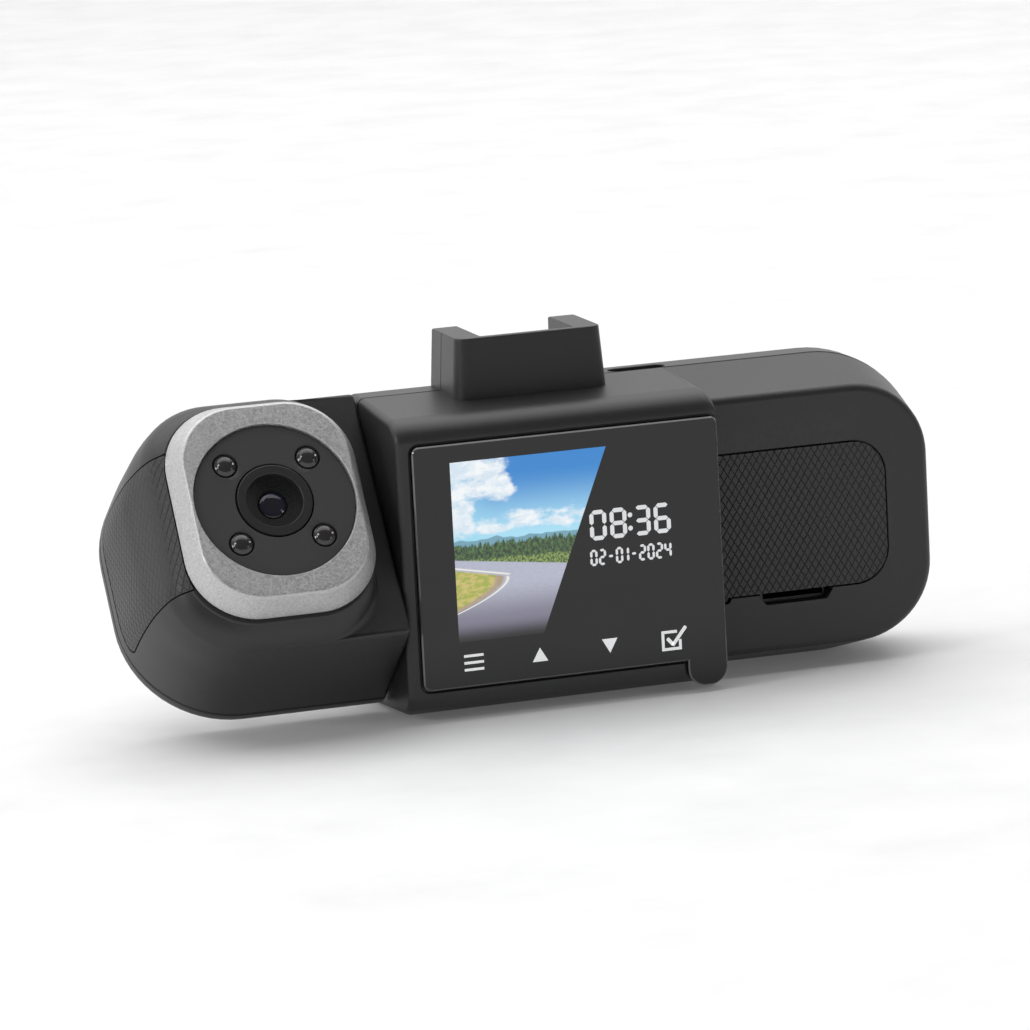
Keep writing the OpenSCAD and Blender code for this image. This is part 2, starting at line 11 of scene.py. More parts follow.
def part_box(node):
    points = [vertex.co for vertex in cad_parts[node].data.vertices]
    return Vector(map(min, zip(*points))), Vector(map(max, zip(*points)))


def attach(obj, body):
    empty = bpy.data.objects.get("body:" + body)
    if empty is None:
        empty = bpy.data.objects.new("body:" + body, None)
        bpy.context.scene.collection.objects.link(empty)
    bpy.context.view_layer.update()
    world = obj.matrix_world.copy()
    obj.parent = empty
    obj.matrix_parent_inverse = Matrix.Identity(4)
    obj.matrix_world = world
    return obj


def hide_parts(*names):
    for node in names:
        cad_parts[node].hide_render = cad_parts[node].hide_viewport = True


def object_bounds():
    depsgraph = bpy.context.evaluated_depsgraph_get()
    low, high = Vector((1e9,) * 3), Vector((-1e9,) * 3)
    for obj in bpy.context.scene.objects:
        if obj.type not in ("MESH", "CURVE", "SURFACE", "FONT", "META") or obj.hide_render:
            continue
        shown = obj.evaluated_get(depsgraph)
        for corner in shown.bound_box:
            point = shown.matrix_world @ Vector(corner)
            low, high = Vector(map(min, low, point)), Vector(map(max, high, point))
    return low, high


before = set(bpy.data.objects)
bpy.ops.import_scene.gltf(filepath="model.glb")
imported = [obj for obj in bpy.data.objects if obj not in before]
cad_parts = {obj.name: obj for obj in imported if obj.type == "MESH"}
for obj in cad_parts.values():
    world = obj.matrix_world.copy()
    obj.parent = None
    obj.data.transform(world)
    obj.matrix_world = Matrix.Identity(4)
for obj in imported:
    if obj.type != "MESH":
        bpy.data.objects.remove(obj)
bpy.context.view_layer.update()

MM = 0.001

# ---- sizes shared by several pieces, in millimetres ----

GLASS_TOP = 21.2
SEAM_Y = 22.1
SEAM_HALF_GAP = 0.13
SEAM_LIP = 0.18
TONGUE_INSET = 1.0
BLOCK_HALF_W = 28.75
BLOCK_FRONT_HALF_H = 25.25
BLOCK_DRAFT = math.tan(math.radians(4))
SEAM_HALF_H = BLOCK_FRONT_HALF_H + SEAM_Y * BLOCK_DRAFT
BODY_DEPTH = 33.0
BODY_END_X = 73.75
BODY_SCREWS = [(-22.3, 17.6), (-22.3, -17.6), (64.5, 13), (64.5, -13)]
WING_Y = 7.5
WING_END_X = 69.8
WING_HALF_H = 22.6
ROAD_X = 46.0
ROAD_DEPTH = 3.6
USB_X = 22.6
USB_HALF_W = 5.2
CARD_X = 44.5
RESET_X = 31.4
RESET_Z = -12.5

SHOE_TOP = 36.69
SHOE_FOOT = 25.4
SHOE_HALF_W = 13.1
SHOE_FRONT_Y = 13.2
SHOE_REAR_Y = 28.2
SHOE_HALF_GAP = 8.3
SHOE_INNER_Y = 14.75
SHOE_SEAT_Z = 27.35

POD_TILT = 36.0
POD_RIGHT_X = -29.1
POD_LEFT_X = -73.4
POD_FACE_Y = 6.4
POD_SEAM_Y = 28.6
POD_BACK_HALF_H = 24.8
POD_CORNER_R = 0.9
POD_BACK_LEFT_R = 19
POD_SCREWS = [(-34.6, 17.4), (-34.6, -17.4), (-62.5, 15.5), (-62.5, -15.5)]
POD_INLAY_HALF_H = 12.4
POD_INLAY_END_Y = 26.4
CABIN_X = -49.85
CABIN_DEPTH = 4.7
CABIN_LEAN = 2.5
BEZEL_BASE_Y = 1.6
BEZEL_W = 29.7
BEZEL_H = 35.6
BEZEL_FLARE = 1.7
FACE_R = 13.85
PLATE_TOP = -0.6
LAMP_OFFSET = 7.2
LAMP_R = 1.62
LAMP_HOLE_R = 2.12

ARC_STEPS = 16
TURN_STEPS = 96

# ---- places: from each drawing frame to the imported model's frame ----

glass_low, glass_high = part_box("screen_glass")
BODY_RISE = glass_high.z / MM - GLASS_TOP
PIVOT = Vector((0, SEAM_Y, 0))
BODY = (Matrix.Translation((0, glass_low.y, glass_high.z - GLASS_TOP * MM))
        @ Matrix.Scale(MM, 4))
POD = (BODY @ Matrix.Translation(PIVOT)
       @ Matrix.Rotation(math.radians(-POD_TILT), 4, "X") @ Matrix.Translation(-PIVOT))
CABIN = (POD @ Matrix.Translation((CABIN_X, BEZEL_BASE_Y - CABIN_DEPTH, 0))
         @ Matrix.Rotation(math.radians(90 + CABIN_LEAN), 4, "X"))
ROAD = (BODY @ Matrix.Translation((ROAD_X, BODY_DEPTH + ROAD_DEPTH, 0))
        @ Matrix.Rotation(math.radians(-90), 4, "X"))


# ---- outlines ----

def quarter_arc(cx, cz, rx, rz, quarter):
    """Points of a quarter ellipse, anticlockwise."""
    points = []
    for i in range(ARC_STEPS + 1):
        a = math.radians(90 * (quarter + i / ARC_STEPS))
        points.append((cx + rx * math.cos(a), cz + rz * math.sin(a)))
    return points


def outline(left, right, low, high, corners, inset=0.0, straight=1):
    """Rectangle with elliptic corners, anticlockwise from the right side's top.

    corners holds (rx, rz) for right top, left top, left bottom and right bottom.
    """
    arcs = []
    for quarter, (side, up) in enumerate(((1, 1), (-1, 1), (-1, -1), (1, -1))):
        rx = max(corners[quarter][0] - inset, 0.02)
        rz = max(corners[quarter][1] - inset, 0.02)
        cx = right - inset - rx if side > 0 else left + inset + rx
        cz = high - inset - rz if up > 0 else low + inset + rz
        arcs.append(quarter_arc(cx, cz, rx, rz, quarter))
    points = []
    for quarter in range(4):
        points += arcs[quarter]
        start = arcs[quarter][-1]
        end = arcs[(quarter + 1) % 4][0]
        for i in range(1, straight):
            t = i / straight
            points.append((start[0] + (end[0] - start[0]) * t,
                           start[1] + (end[1] - start[1]) * t))
    return points


def evenly(radius):
    return [(radius, radius)] * 4


def sided(right_r, left_r):
    """Corner radii that differ between the right and the left side."""
    return [(right_r, right_r), (left_r, left_r), (left_r, left_r), (right_r, right_r)]


def circle_points(x, z, r):
    return outline(x - r, x + r, z - r, z + r, evenly(r))


def at_depth(points, y):
    """Outline in XZ, put at depth y."""
    return [(x, y, z) for x, z in points]


def at_height(points, z):
    """Outline in XY, put at height z."""
    return [(x, y, z) for x, y in points]


def fillet(radius, steps=6):
    """(depth, inset) pairs of a rounded edge, from the face to the side."""
    pairs = []
    for i in range(steps + 1):
        t = math.radians(90 * i / steps)
        pairs.append((radius * (1 - math.cos(t)), radius * (1 - math.sin(t))))
    return pairs


# ---- solids ----

def piece_from(name, bm):
    mesh = bpy.data.meshes.new(name)
    bm.to_mesh(mesh)
    bm.free()
    piece = bpy.data.objects.new(name, mesh)
    bpy.context.scene.collection.objects.link(piece)
    return piece


def solid(name, verts, faces):
    mesh = bpy.data.meshes.new(name)
    mesh.from_pydata([tuple(v) for v in verts], [], faces)
    bm = bmesh.new()
    bm.from_mesh(mesh)
    bpy.data.meshes.remove(mesh)
    bmesh.ops.remove_doubles(bm, verts=bm.verts, dist=1e-5)
    bmesh.ops.dissolve_degenerate(bm, edges=bm.edges, dist=1e-5)
    bmesh.ops.recalc_face_normals(bm, faces=bm.faces)
    return piece_from(name, bm)


def loft(name, rings, wrapped=False, capped=True):
    """Closed solid through rings of points. A wrapped one joins its last ring to its first."""
    n = len(rings[0])
    verts = [p for ring in rings for p in ring]
    faces = []
    for k in range(len(rings) if wrapped else len(rings) - 1):
        after = (k + 1) % len(rings)
        for i in range(n):
            j = (i + 1) % n
            faces.append((k * n + i, k * n + j, after * n + j, after * n + i))
    if capped and not wrapped:
        last = (len(rings) - 1) * n
        faces.append(tuple(range(n - 1, -1, -1)))
        faces.append(tuple(range(last, last + n)))
    return solid(name, verts, faces)


def turned(name, profile, closed=True):
    """Solid of revolution about Z. profile is a list of (radius, z), closed on itself or
    with both its ends on the axis."""
    rings = []
    for r, z in profile:
        ring = []
        for i in range(TURN_STEPS):
            a = 2 * math.pi * i / TURN_STEPS
            ring.append((r * math.cos(a), r * math.sin(a), z))
        rings.append(ring)
    return loft(name, rings, wrapped=closed, capped=False)


def brick(low, high, ease=0.02):
    """Box between two corners, with its upright edges eased."""
    points = outline(low[0], high[0], low[1], high[1], evenly(ease))
    return loft("brick", [at_height(points, low[2]), at_height(points, high[2])])


def combine(piece, tool, operation):
    modifier = piece.modifiers.new("combine", "BOOLEAN")
    modifier.operation = operation
    modifier.solver = "EXACT"
    modifier.object = tool
    bpy.context.view_layer.update()
    graph = bpy.context.evaluated_depsgraph_get()
    mesh = bpy.data.meshes.new_from_object(piece.evaluated_get(graph))
    piece.modifiers.clear()
    old = piece.data
    name = old.name
    piece.data = mesh
    bpy.data.meshes.remove(old)
    mesh.name = name
    bpy.data.objects.remove(tool)


def cut(piece, *tools):
    for tool in tools:
        combine(piece, tool, "DIFFERENCE")


def add(piece, *others):
    for other in others:
        combine(piece, other, "UNION")


def joined(pieces):
    """Gathers separate solids in the first one."""
    bm = bmesh.new()
    for piece in pieces:
        bm.from_mesh(piece.data)
    for piece in pieces[1:]:
        bpy.data.objects.remove(piece)
    bm.to_mesh(pieces[0].data)
    bm.free()
    return pieces[0]


def plug(points, y0, depth, lip=0.12, side=1):
    """Cutting tool for a recess with an eased edge, in a face that looks forwards, or
    backwards when side is -1. points is a function of how far the outline grows."""
    rows = [(lip, -3), (lip, 0), (0.0, lip), (0.0, depth)]
    if side < 0:
        rows.reverse()
    return loft("tool", [at_depth(points(grow), y0 + side * y) for grow, y in rows])


def set_in(piece, place, material, body, replaced=(), smooth=32):
    """Puts a finished piece in its place on its body."""
    mesh = piece.data
    mesh.transform(place)
    mesh.materials.clear()
    mesh.materials.append(material)
    mesh.polygons.foreach_set("use_smooth", [True] * len(mesh.polygons))
    mesh.set_sharp_from_angle(angle=math.radians(smooth))
    weighted = piece.modifiers.new("weighted", "WEIGHTED_NORMAL")
    weighted.keep_sharp = True
    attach(piece, body)
    if replaced:
        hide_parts(*replaced)


# ---- nodes ----

class Value:
    """Something that varies over a surface. Arithmetic on it adds Math nodes."""

    def __init__(self, socket):
        self.socket = socket
        self.tree = socket.id_data

    def math(self, operation, first, second=0.0):
        made = node(self.tree, "Math", {0: first, 1: second}, operation=operation)
        return Value(made.outputs[0])

    def __add__(self, other):
        return self.math("ADD", self, other)

    def __sub__(self, other):
        return self.math("SUBTRACT", self, other)

    def __rsub__(self, other):
        return self.math("SUBTRACT", other, self)

    def __mul__(self, other):
        return self.math("MULTIPLY", self, other)

    def __pow__(self, other):
        return self.math("POWER", self, other)

    def __abs__(self):
        return self.math("ABSOLUTE", self)

    def or_more(self, other):
        return self.math("MAXIMUM", self, other)

    def clamped(self):
        self.socket.node.use_clamp = True
        return self


def feed(source, target):
    """Links a value to a socket, or sets a plain one."""
    if isinstance(source, Value):
        source.tree.links.new(source.socket, target)
    else:
        target.default_value = source


def node(tree, kind, inputs=None, **settings):
    made = tree.nodes.new("ShaderNode" + kind)
    for key, setting in settings.items():
        setattr(made, key, setting)
    for key, value in (inputs or {}).items():
        feed(value, made.inputs[key])
    return made


def object_place(tree):
    return Value(node(tree, "TexCoord").outputs["Object"])


def mixed(factor, first, second):
    made = node(factor.tree, "Mix", {0: factor}, data_type="RGBA")
    feed(first, made.inputs[6])
    feed(second, made.inputs[7])
    return Value(made.outputs[2])


def span(value, low, high, to_low=0.0, to_high=1.0):
    """Smooth step of value from low to high."""
    ends = {0: value, 1: low, 2: high, 3: to_low, 4: to_high}
    made = node(value.tree, "MapRange", ends, interpolation_type="SMOOTHSTEP")
    return Value(made.outputs[0])


def noise(vector, scale, detail=2.0, roughness=0.5):
    made = node(vector.tree, "TexNoise", {"Vector": vector, "Scale": scale, "Detail": detail,
                                          "Roughness": roughness})
    return Value(made.outputs[0])


def scaled(colour, factor):
    made = node(colour.tree, "VectorMath", {0: colour, "Scale": factor}, operation="SCALE")
    return Value(made.outputs[0])


# ---- shared effects ----

def new_group(name, inputs, outputs):
    """Group with colour inputs where the value is a tuple, and number inputs elsewhere."""
    tree = bpy.data.node_groups.new(name, "ShaderNodeTree")
    for label, value in inputs.items():
        kind = "NodeSocketColor" if isinstance(value, tuple) else "NodeSocketFloat"
        socket = tree.interface.new_socket(name=label, in_out="INPUT", socket_type=kind)
        socket.default_value = value
    for label in outputs:
        kind = "NodeSocketColor" if label in ("Colour", "Dark") else "NodeSocketFloat"
        tree.interface.new_socket(name=label, in_out="OUTPUT", socket_type=kind)
    given = {s.name: Value(s) for s in tree.nodes.new("NodeGroupInput").outputs if s.name}
    return tree, given, tree.nodes.new("NodeGroupOutput").inputs


def make_grain_group():
    """Spark-eroded moulding grain with faint handling marks."""
    tree, given, result = new_group("moulding_grain", {
        "Colour": (0.03, 0.03, 0.03, 1), "Grain Scale": 2600.0, "Tone Spread": 0.15,
        "Roughness": 0.5, "Sheen Spread": 0.08
    }, ["Colour", "Roughness", "Height"])
    place = object_place(tree)
    fine = noise(place, given["Grain Scale"], 3.0, 0.6)
    broad = noise(place, 42.0, 3.0, 0.55)
    tone = (fine - 0.5) * given["Tone Spread"] + (broad - 0.5) * 0.22 + 1.0
    feed(scaled(given["Colour"], tone), result["Colour"])
    smear = (broad - 0.5) * given["Sheen Spread"]
    pores = (fine - 0.5) * given["Sheen Spread"]
    feed((given["Roughness"] + smear + pores).clamped(), result["Roughness"])
    feed(fine, result["Height"])
    return tree


def make_edge_group():
    """Edges rubbed lighter, where the surface turns sharply."""
    tree, given, result = new_group("rubbed_edge", {
        "Colour": (0.03, 0.03, 0.03, 1), "Edge Colour": (0.2, 0.2, 0.2, 1), "Amount": 0.3
    }, ["Colour"])
    turn = Value(node(tree, "NewGeometry").outputs["Pointiness"])
    worn = span(turn, 0.56, 0.68)
    broken = span(noise(object_place(tree), 900.0, 4.0, 0.6), 0.35, 0.65)
    mask = (worn * broken * given["Amount"]).clamped()
    feed(mixed(mask, given["Colour"], given["Edge Colour"]), result["Colour"])
    return tree


def make_flake_group():
    """Bright and dark flakes of a blasted and lacquered metal."""
    tree, given, result = new_group("metal_flake", {
        "Colour": (0.4, 0.4, 0.4, 1), "Flake Scale": 4200.0, "Contrast": 0.4,
        "Roughness": 0.4
    }, ["Colour", "Roughness", "Height"])
    place = object_place(tree)
    cells = node(tree, "TexVoronoi", {"Vector": place, "Scale": given["Flake Scale"]},
                 feature="F1")
    parts = node(tree, "SeparateColor", {0: Value(cells.outputs["Color"])})
    flake = Value(parts.outputs[0])
    fine = noise(place, 5200.0, 2.0, 0.6)
    tone = ((flake - 0.5) + (fine - 0.5)) * given["Contrast"] + 1.0
    feed(scaled(given["Colour"], tone), result["Colour"])
    feed(((flake - 0.5) * 0.25 + given["Roughness"]).clamped(), result["Roughness"])
    feed(flake + fine, result["Height"])
    return tree


GRAIN = make_grain_group()
EDGE = make_edge_group()
FLAKE = make_flake_group()


# ---- materials ----

def new_material(name, **constants):
    material = bpy.data.materials.new(name)
    material.use_nodes = True
    shader = material.node_tree.nodes["Principled BSDF"]
    for key, value in constants.items():
        shader.inputs[key.replace("_", " ")].default_value = value
    return material, shader


def use_group(shader, group, **values):
    """Places a group beside a shader, and gives its outputs by name."""
    made = node(shader.id_data, "Group", node_tree=group)
    for key, value in values.items():
        feed(value, made.inputs[key.replace("_", " ")])
    return {socket.name: Value(socket) for socket in made.outputs}


def dress(shader, effect, **targets):
    """Feeds a group's outputs to the shader's sockets."""
    for label, socket in targets.items():
        feed(effect[label], shader.inputs[socket])


def bumped(shader, height, strength, distance):
    made = node(shader.id_data, "Bump", {"Strength": strength, "Distance": distance,
                                         "Height": height})
    feed(Value(made.outputs[0]), shader.inputs["Normal"])


def moulded(name, colour, edge, roughness, scale=2600.0, strength=0.25, rub=0.1):
    """Moulded plastic: grain over the whole piece, edges rubbed a little lighter."""
    material, shader = new_material(name)
    grain = use_group(shader, GRAIN, Colour=(*colour, 1), Grain_Scale=scale,
                      Roughness=roughness)
    rubbed = use_group(shader, EDGE, Colour=grain["Colour"], Edge_Colour=(*edge, 1),
                       Amount=rub)
    dress(shader, rubbed, Colour="Base Color")
    dress(shader, grain, Roughness="Roughness")
    bumped(shader, grain["Height"], strength, 0.00012)
    return material


def blasted(name, colour, roughness, contrast, metallic=1.0):
    """Blasted metal with a flake."""
    material, shader = new_material(name, Metallic=metallic)
    flake = use_group(shader, FLAKE, Colour=(*colour, 1), Contrast=contrast,
                      Roughness=roughness)
    dress(shader, flake, Colour="Base Color", Roughness="Roughness")
    bumped(shader, flake["Height"], 0.2, 0.00006)
    return material


def polished(name, colour, roughness, **constants):
    """Smooth glossy finish with faint wipe marks."""
    material, shader = new_material(name, **constants)
    grain = use_group(shader, GRAIN, Colour=(*colour, 1), Grain_Scale=180.0,
                      Tone_Spread=0.1, Roughness=roughness, Sheen_Spread=0.06)
    dress(shader, grain, Colour="Base Color", Roughness="Roughness")
    return material


SHELL = moulded("shell_charcoal", (0.023, 0.023, 0.024), (0.07, 0.07, 0.072), 0.42)
INLAY = moulded("inlay_charcoal", (0.03, 0.03, 0.031), (0.08, 0.08, 0.08), 0.46, rub=0.2)
BLACK = moulded("black_plastic", (0.012, 0.012, 0.013), (0.04, 0.04, 0.04), 0.45)
FACE = moulded("face_satin", (0.05, 0.05, 0.051), (0.09, 0.09, 0.09), 0.42, 3200.0, 0.12)
WHITE = moulded("white_plastic", (0.6, 0.6, 0.58), (0.8, 0.8, 0.8), 0.45)
BOARD = moulded("board_lacquer", (0.01, 0.09, 0.03), (0.2, 0.25, 0.15), 0.35, 900.0)
SILVER = blasted("bezel_silver", (0.56, 0.56, 0.565), 0.48, 0.3, 0.7)
STEEL = blasted("screw_steel", (0.42, 0.42, 0.43), 0.3, 0.2)
CAN = blasted("tinned_can", (0.6, 0.6, 0.6), 0.32, 0.15)
DARK_CAN = blasted("dark_can", (0.07, 0.07, 0.072), 0.45, 0.15)
# Light lead tips inside the lamp domes: partly real leads, partly a painted glint on each dome.
LEAD_GLINT = blasted("lamp_lead_glints", (0.85, 0.85, 0.84), 0.5, 0.1, 0.3)
GLASS = polished("cover_glass", (0.006, 0.006, 0.0065), 0.09)
# Glass bevel: its lighter colour is in part a painted highlight round the glass edge.
GLASS_EDGE = polished("glass_edge", (0.1, 0.1, 0.105), 0.2, Coat_Weight=1.0)
RESIN = polished("lamp_resin", (0.03, 0.027, 0.029), 0.16, Coat_Weight=0.35,
                 Coat_Roughness=0.05)
COATED = polished("coated_lens", (0.02, 0.012, 0.035), 0.05, Coat_Weight=1.0,
                  Coat_Roughness=0.02, Coat_Tint=(0.75, 0.6, 1.0, 1.0))
FRONT_LENS = polished("front_lens", (0.012, 0.013, 0.018), 0.05, Coat_Weight=0.4,
                      Coat_Roughness=0.02)


# ---- tiled relief, for the textured inlays ----

def clip_to(border, cell):
    """The part of a convex cell inside a convex border, both anticlockwise."""
    kept = cell
    for i in range(len(border)):
        ax, az = border[i]
        bx, bz = border[(i + 1) % len(border)]
        before = kept
        kept = []
        sides = [(bx - ax) * (p[1] - az) - (bz - az) * (p[0] - ax) for p in before]
        for k in range(len(before)):
            p, q = before[k], before[(k + 1) % len(before)]
            sp, sq = sides[k], sides[(k + 1) % len(before)]
            if sp >= 0:
                kept.append(p)
            if (sp > 0 > sq) or (sp < 0 < sq):
                t = sp / (sp - sq)
                kept.append((p[0] + (q[0] - p[0]) * t, p[1] + (q[1] - p[1]) * t))
        if len(kept) < 3:
            return []
    return kept


DIAMOND_W = 1.35
DIAMOND_H = 2.15
DIAMOND_TOP = 0.8


def extent(points):
    """Lowest and highest u, then lowest and highest v."""
    us = [p[0] for p in points]
    vs = [p[1] for p in points]
    return min(us), max(us), min(vs), max(vs)


def diamond_cells(border):
    """Facets of the diamond relief, cut off at the border, and the relief's origin."""
    low_u, high_u, low_v, high_v = extent(border)
    cells = []
    rows = int((high_v - low_v) / (DIAMOND_H / 2)) + 3
    columns = int((high_u - low_u) / DIAMOND_W) + 3
    for row in range(-1, rows):
        for column in range(-1, columns):
            cu = low_u + (column + (row % 2) / 2) * DIAMOND_W
            cv = low_v + row * DIAMOND_H / 2
            outer = [(cu + DIAMOND_W / 2, cv), (cu, cv + DIAMOND_H / 2),
                     (cu - DIAMOND_W / 2, cv), (cu, cv - DIAMOND_H / 2)]
            inner = [(cu + (u - cu) * DIAMOND_TOP, cv + (v - cv) * DIAMOND_TOP)
                     for u, v in outer]
            facets = [inner]
            for k in range(4):
                facets.append([outer[k], outer[(k + 1) % 4], inner[(k + 1) % 4], inner[k]])
            for facet in facets:
                part = clip_to(border, facet)
                if part:
                    cells.append(part)
    return cells, (low_u, low_v)


def diamond_height(u, v, origin, height):
    """Height of the relief at a point: flat-topped diamonds with V grooves between."""
    best = 0.0
    for shift in (0.0, 0.5):
        du = ((u - origin[0]) / DIAMOND_W - shift + 0.5) % 1.0 - 0.5
        dv = ((v - origin[1]) / DIAMOND_H - shift + 0.5) % 1.0 - 0.5
        best = max(best, 1.0 - 2 * abs(du) - 2 * abs(dv))
    return height * min(1.0, best / (1.0 - DIAMOND_TOP))


def square_cells(border, size):
    """Squares that fill the border, cut off at it."""
    low_u, high_u, low_v, high_v = extent(border)
    cells = []
    for i in range(int((high_u - low_u) / size) + 1):
        for k in range(int((high_v - low_v) / size) + 1):
            u = low_u + i * size
            v = low_v + k * size
            cell = [(u, v), (u + size, v), (u + size, v + size), (u, v + size)]
            part = clip_to(border, cell)
            if part:
                cells.append(part)
    return cells


def slab(name, cells, put, bottom, top):
    """Closed slab of 2D cells. put(u, v, height) places a point; top is a function of
    (u, v) or a number."""
    bm = bmesh.new()
    for cell in cells:
        bm.faces.new([bm.verts.new((u, v, 0)) for u, v in cell])
    bmesh.ops.remove_doubles(bm, verts=bm.verts, dist=1e-4)
    bmesh.ops.dissolve_degenerate(bm, edges=bm.edges, dist=1e-4)
    region = bmesh.ops.extrude_face_region(bm, geom=bm.faces[:])
    raised = {e for e in region["geom"] if isinstance(e, bmesh.types.BMVert)}
    for vert in bm.verts:
        u, v = vert.co.x, vert.co.y
        if vert in raised:
            height = top(u, v) if callable(top) else top
        else:
            height = bottom
        vert.co = put(u, v, height)
    bmesh.ops.recalc_face_normals(bm, faces=bm.faces)
    if bm.calc_volume(signed=True) < 0:
        bmesh.ops.reverse_faces(bm, faces=bm.faces)
    return piece_from(name, bm)


# ---- body shells ----

def seam_rows():
    """(depth, inset) pairs that ease the front half's edge at the parting line."""
    edge = SEAM_Y - SEAM_HALF_GAP
    return [(edge - SEAM_LIP, 0.0), (edge, SEAM_LIP)]


def block_ring(x, top_inset, front_inset):
    """Side view of the display block at x."""
    front = 0.5
    depth = 5.5
    start_z = 21.75
    end_z = BLOCK_FRONT_HALF_H + (front + depth) * BLOCK_DRAFT
    upper = []
    for i in range(ARC_STEPS + 1):
        a = math.radians(90 * i / ARC_STEPS)
        upper.append((front + front_inset + (depth - front_inset) * (1 - math.cos(a)),
                      start_z + (end_z - top_inset - start_z) * math.sin(a)))
    for y, inset in seam_rows():
        upper.append((y, BLOCK_FRONT_HALF_H + y * BLOCK_DRAFT - top_inset - inset))
    ring = [(x, y, z) for y, z in upper]
    ring += [(x, y, -z) for y, z in reversed(upper)]
    return ring


def block_solid():
    rings = []
    for depth, inset in fillet(1.3):
        rings.append(block_ring(-BLOCK_HALF_W + depth, inset, inset * 0.7))
    for depth, inset in reversed(fillet(2.4)):
        rings.append(block_ring(BLOCK_HALF_W - depth, inset, inset * 0.2))
    return loft("block", rings)


def wing_ring(y, inset):
    t = (y - WING_Y) / (SEAM_Y - WING_Y)
    right = WING_END_X + t * (BODY_END_X - WING_END_X)
    half = WING_HALF_H + t * (SEAM_HALF_H - WING_HALF_H)
    corner = (13.8 + 6.2 * t, 13.0 + 6.2 * t)
    corners = [corner, (1, 1), (1, 1), corner]
    return at_depth(outline(0, right, -half, half, corners, inset), y)


def wing_solid():
    rings = [wing_ring(WING_Y + depth, inset) for depth, inset in fillet(1.1)]
    rings += [wing_ring(y, inset) for y, inset in seam_rows()]
    return loft("wing", rings)


def glass_points(inset=0.0):
    """Cover glass with its tab at the lower right."""
    left, right = -26.2 + inset, 28.6 - inset
    top, bottom = GLASS_TOP - inset, -20.9 + inset
    tab_left, tab_bottom = 21.4 + inset, -25.6 + inset
    r = 1.3 - inset
    points = quarter_arc(right - r, top - r, r, r, 0)
    points += quarter_arc(left + r, top - r, r, r, 1)
    points += quarter_arc(left + r, bottom + r, r, r, 2)
    points.append((tab_left, bottom))
    r = 3.2 - inset
    points += quarter_arc(tab_left + r, tab_bottom + r, r, r, 2)
    points += quarter_arc(right - r, tab_bottom + r, r, r, 3)
    return points


def wing_inlay_points(inset=0.0):
    corners = [(6, 6), (0.4, 0.4), (0.4, 0.4), (6, 6)]
    return outline(29.35, 61.8, -12.3, 12.7, corners, inset)


def rounded_polygon(corners, radius, steps=5):
    """Polygon with its corners rounded, from a list of (x, z)."""
    points = []
    count = len(corners)
    for k in range(count):
        here = Vector(corners[k])
        start = here + (Vector(corners[k - 1]) - here).normalized() * radius
        end = here + (Vector(corners[(k + 1) % count]) - here).normalized() * radius
        for i in range(steps + 1):
            t = i / steps
            point = start * (1 - t) ** 2 + here * 2 * t * (1 - t) + end * t ** 2
            points.append((point.x, point.y))
    return points


def card_points(grow):
    """Mouth of the card slot, narrower at its foot."""
    wide, narrow = 6.9 + grow, 5.6 + grow
    top, shoulder, foot = -11.4, -12.7, -14.45 - grow
    corners = [(CARD_X + wide, top), (CARD_X - wide, top), (CARD_X - wide, shoulder),
               (CARD_X - narrow, foot), (CARD_X + narrow, foot), (CARD_X + wide, shoulder)]
    return rounded_polygon(corners, 0.45)


def tab_pad():
    """Pad under the glass's tab."""
    points = outline(21.6, 28.4, -25.4, -17, [(0.1, 0.1), (0.1, 0.1), (3, 3), (3, 3)])
    return loft("pad", [at_depth(points, y) for y in (0.8, 8)])


def build_front_shell():
    """Block, wing and pad in one, with recesses for glass, inlay, card and reset pin."""
    glass_gap = 0.4
    inlay_gap = 0.28
    hole_r = 0.95
    through = 8.0
    shell = block_solid()
    shell.name = "front_shell_skin"
    add(shell, wing_solid(), tab_pad())
    cut(shell,
        plug(lambda grow: glass_points(-glass_gap - grow), 0.5, 0.75, 0.14),
        plug(lambda grow: wing_inlay_points(-inlay_gap - grow), WING_Y, 1.15, 0.1),
        plug(card_points, WING_Y, through, 0.06),
        plug(lambda grow: circle_points(RESET_X, RESET_Z, hole_r + grow), WING_Y, through))
    set_in(shell, BODY, SHELL, "body", ["front_shell"])


def back_rings(left, right, half, corner, left_r, seam, rounding):
    """Rows of a rear half: its tongue, its eased seam, then round to the flat rear face."""
    edge = seam + SEAM_HALF_GAP
    rows = [(seam - 0.6, TONGUE_INSET), (edge, TONGUE_INSET), (edge, SEAM_LIP),
            (edge + SEAM_LIP, 0.0)]
    for i in range(11):
        a = math.radians(9 * i)
        rows.append((BODY_DEPTH - rounding + rounding * math.sin(a),
                     rounding * (1 - math.cos(a))))
    corners = sided(corner, left_r)
    return [at_depth(outline(left, right, -half, half, corners, inset), y)
            for y, inset in rows]


def screw_wells(spots, radius, depth):
    return joined([plug(lambda grow, x=x, z=z: circle_points(x, z, radius + grow),
                        BODY_DEPTH, depth, side=-1) for x, z in spots])


def speaker_slots():
    """Two columns of five rounded slots."""
    middle_x, middle_z = 4, -6
    half_w, half_h = 2.5, 0.55
    tools = []
    for row in range(-2, 3):
        for side in (-1, 1):
            x = middle_x + side * 3.4
            z = middle_z + row * 2.4
            tools.append(plug(
                lambda grow, x=x, z=z: outline(x - half_w - grow, x + half_w + grow,
                                               z - half_h - grow, z + half_h + grow,
                                               evenly(half_h + grow)),
                BODY_DEPTH, 1.8, side=-1))
    return joined(tools)


def usb_slot():
    front_y, back_y = 22.42, 25.55
    lip = 0.12
    top = SEAM_HALF_H

    def points(grow):
        return outline(USB_X - USB_HALF_W - grow, USB_X + USB_HALF_W + grow, front_y - grow,
                       back_y + grow, evenly(1.5 + grow))

    rows = [(0.0, top - 7.4), (0.0, top - lip), (lip, top), (lip, top + 3)]
    return loft("tool", [at_height(points(grow), z) for grow, z in rows])


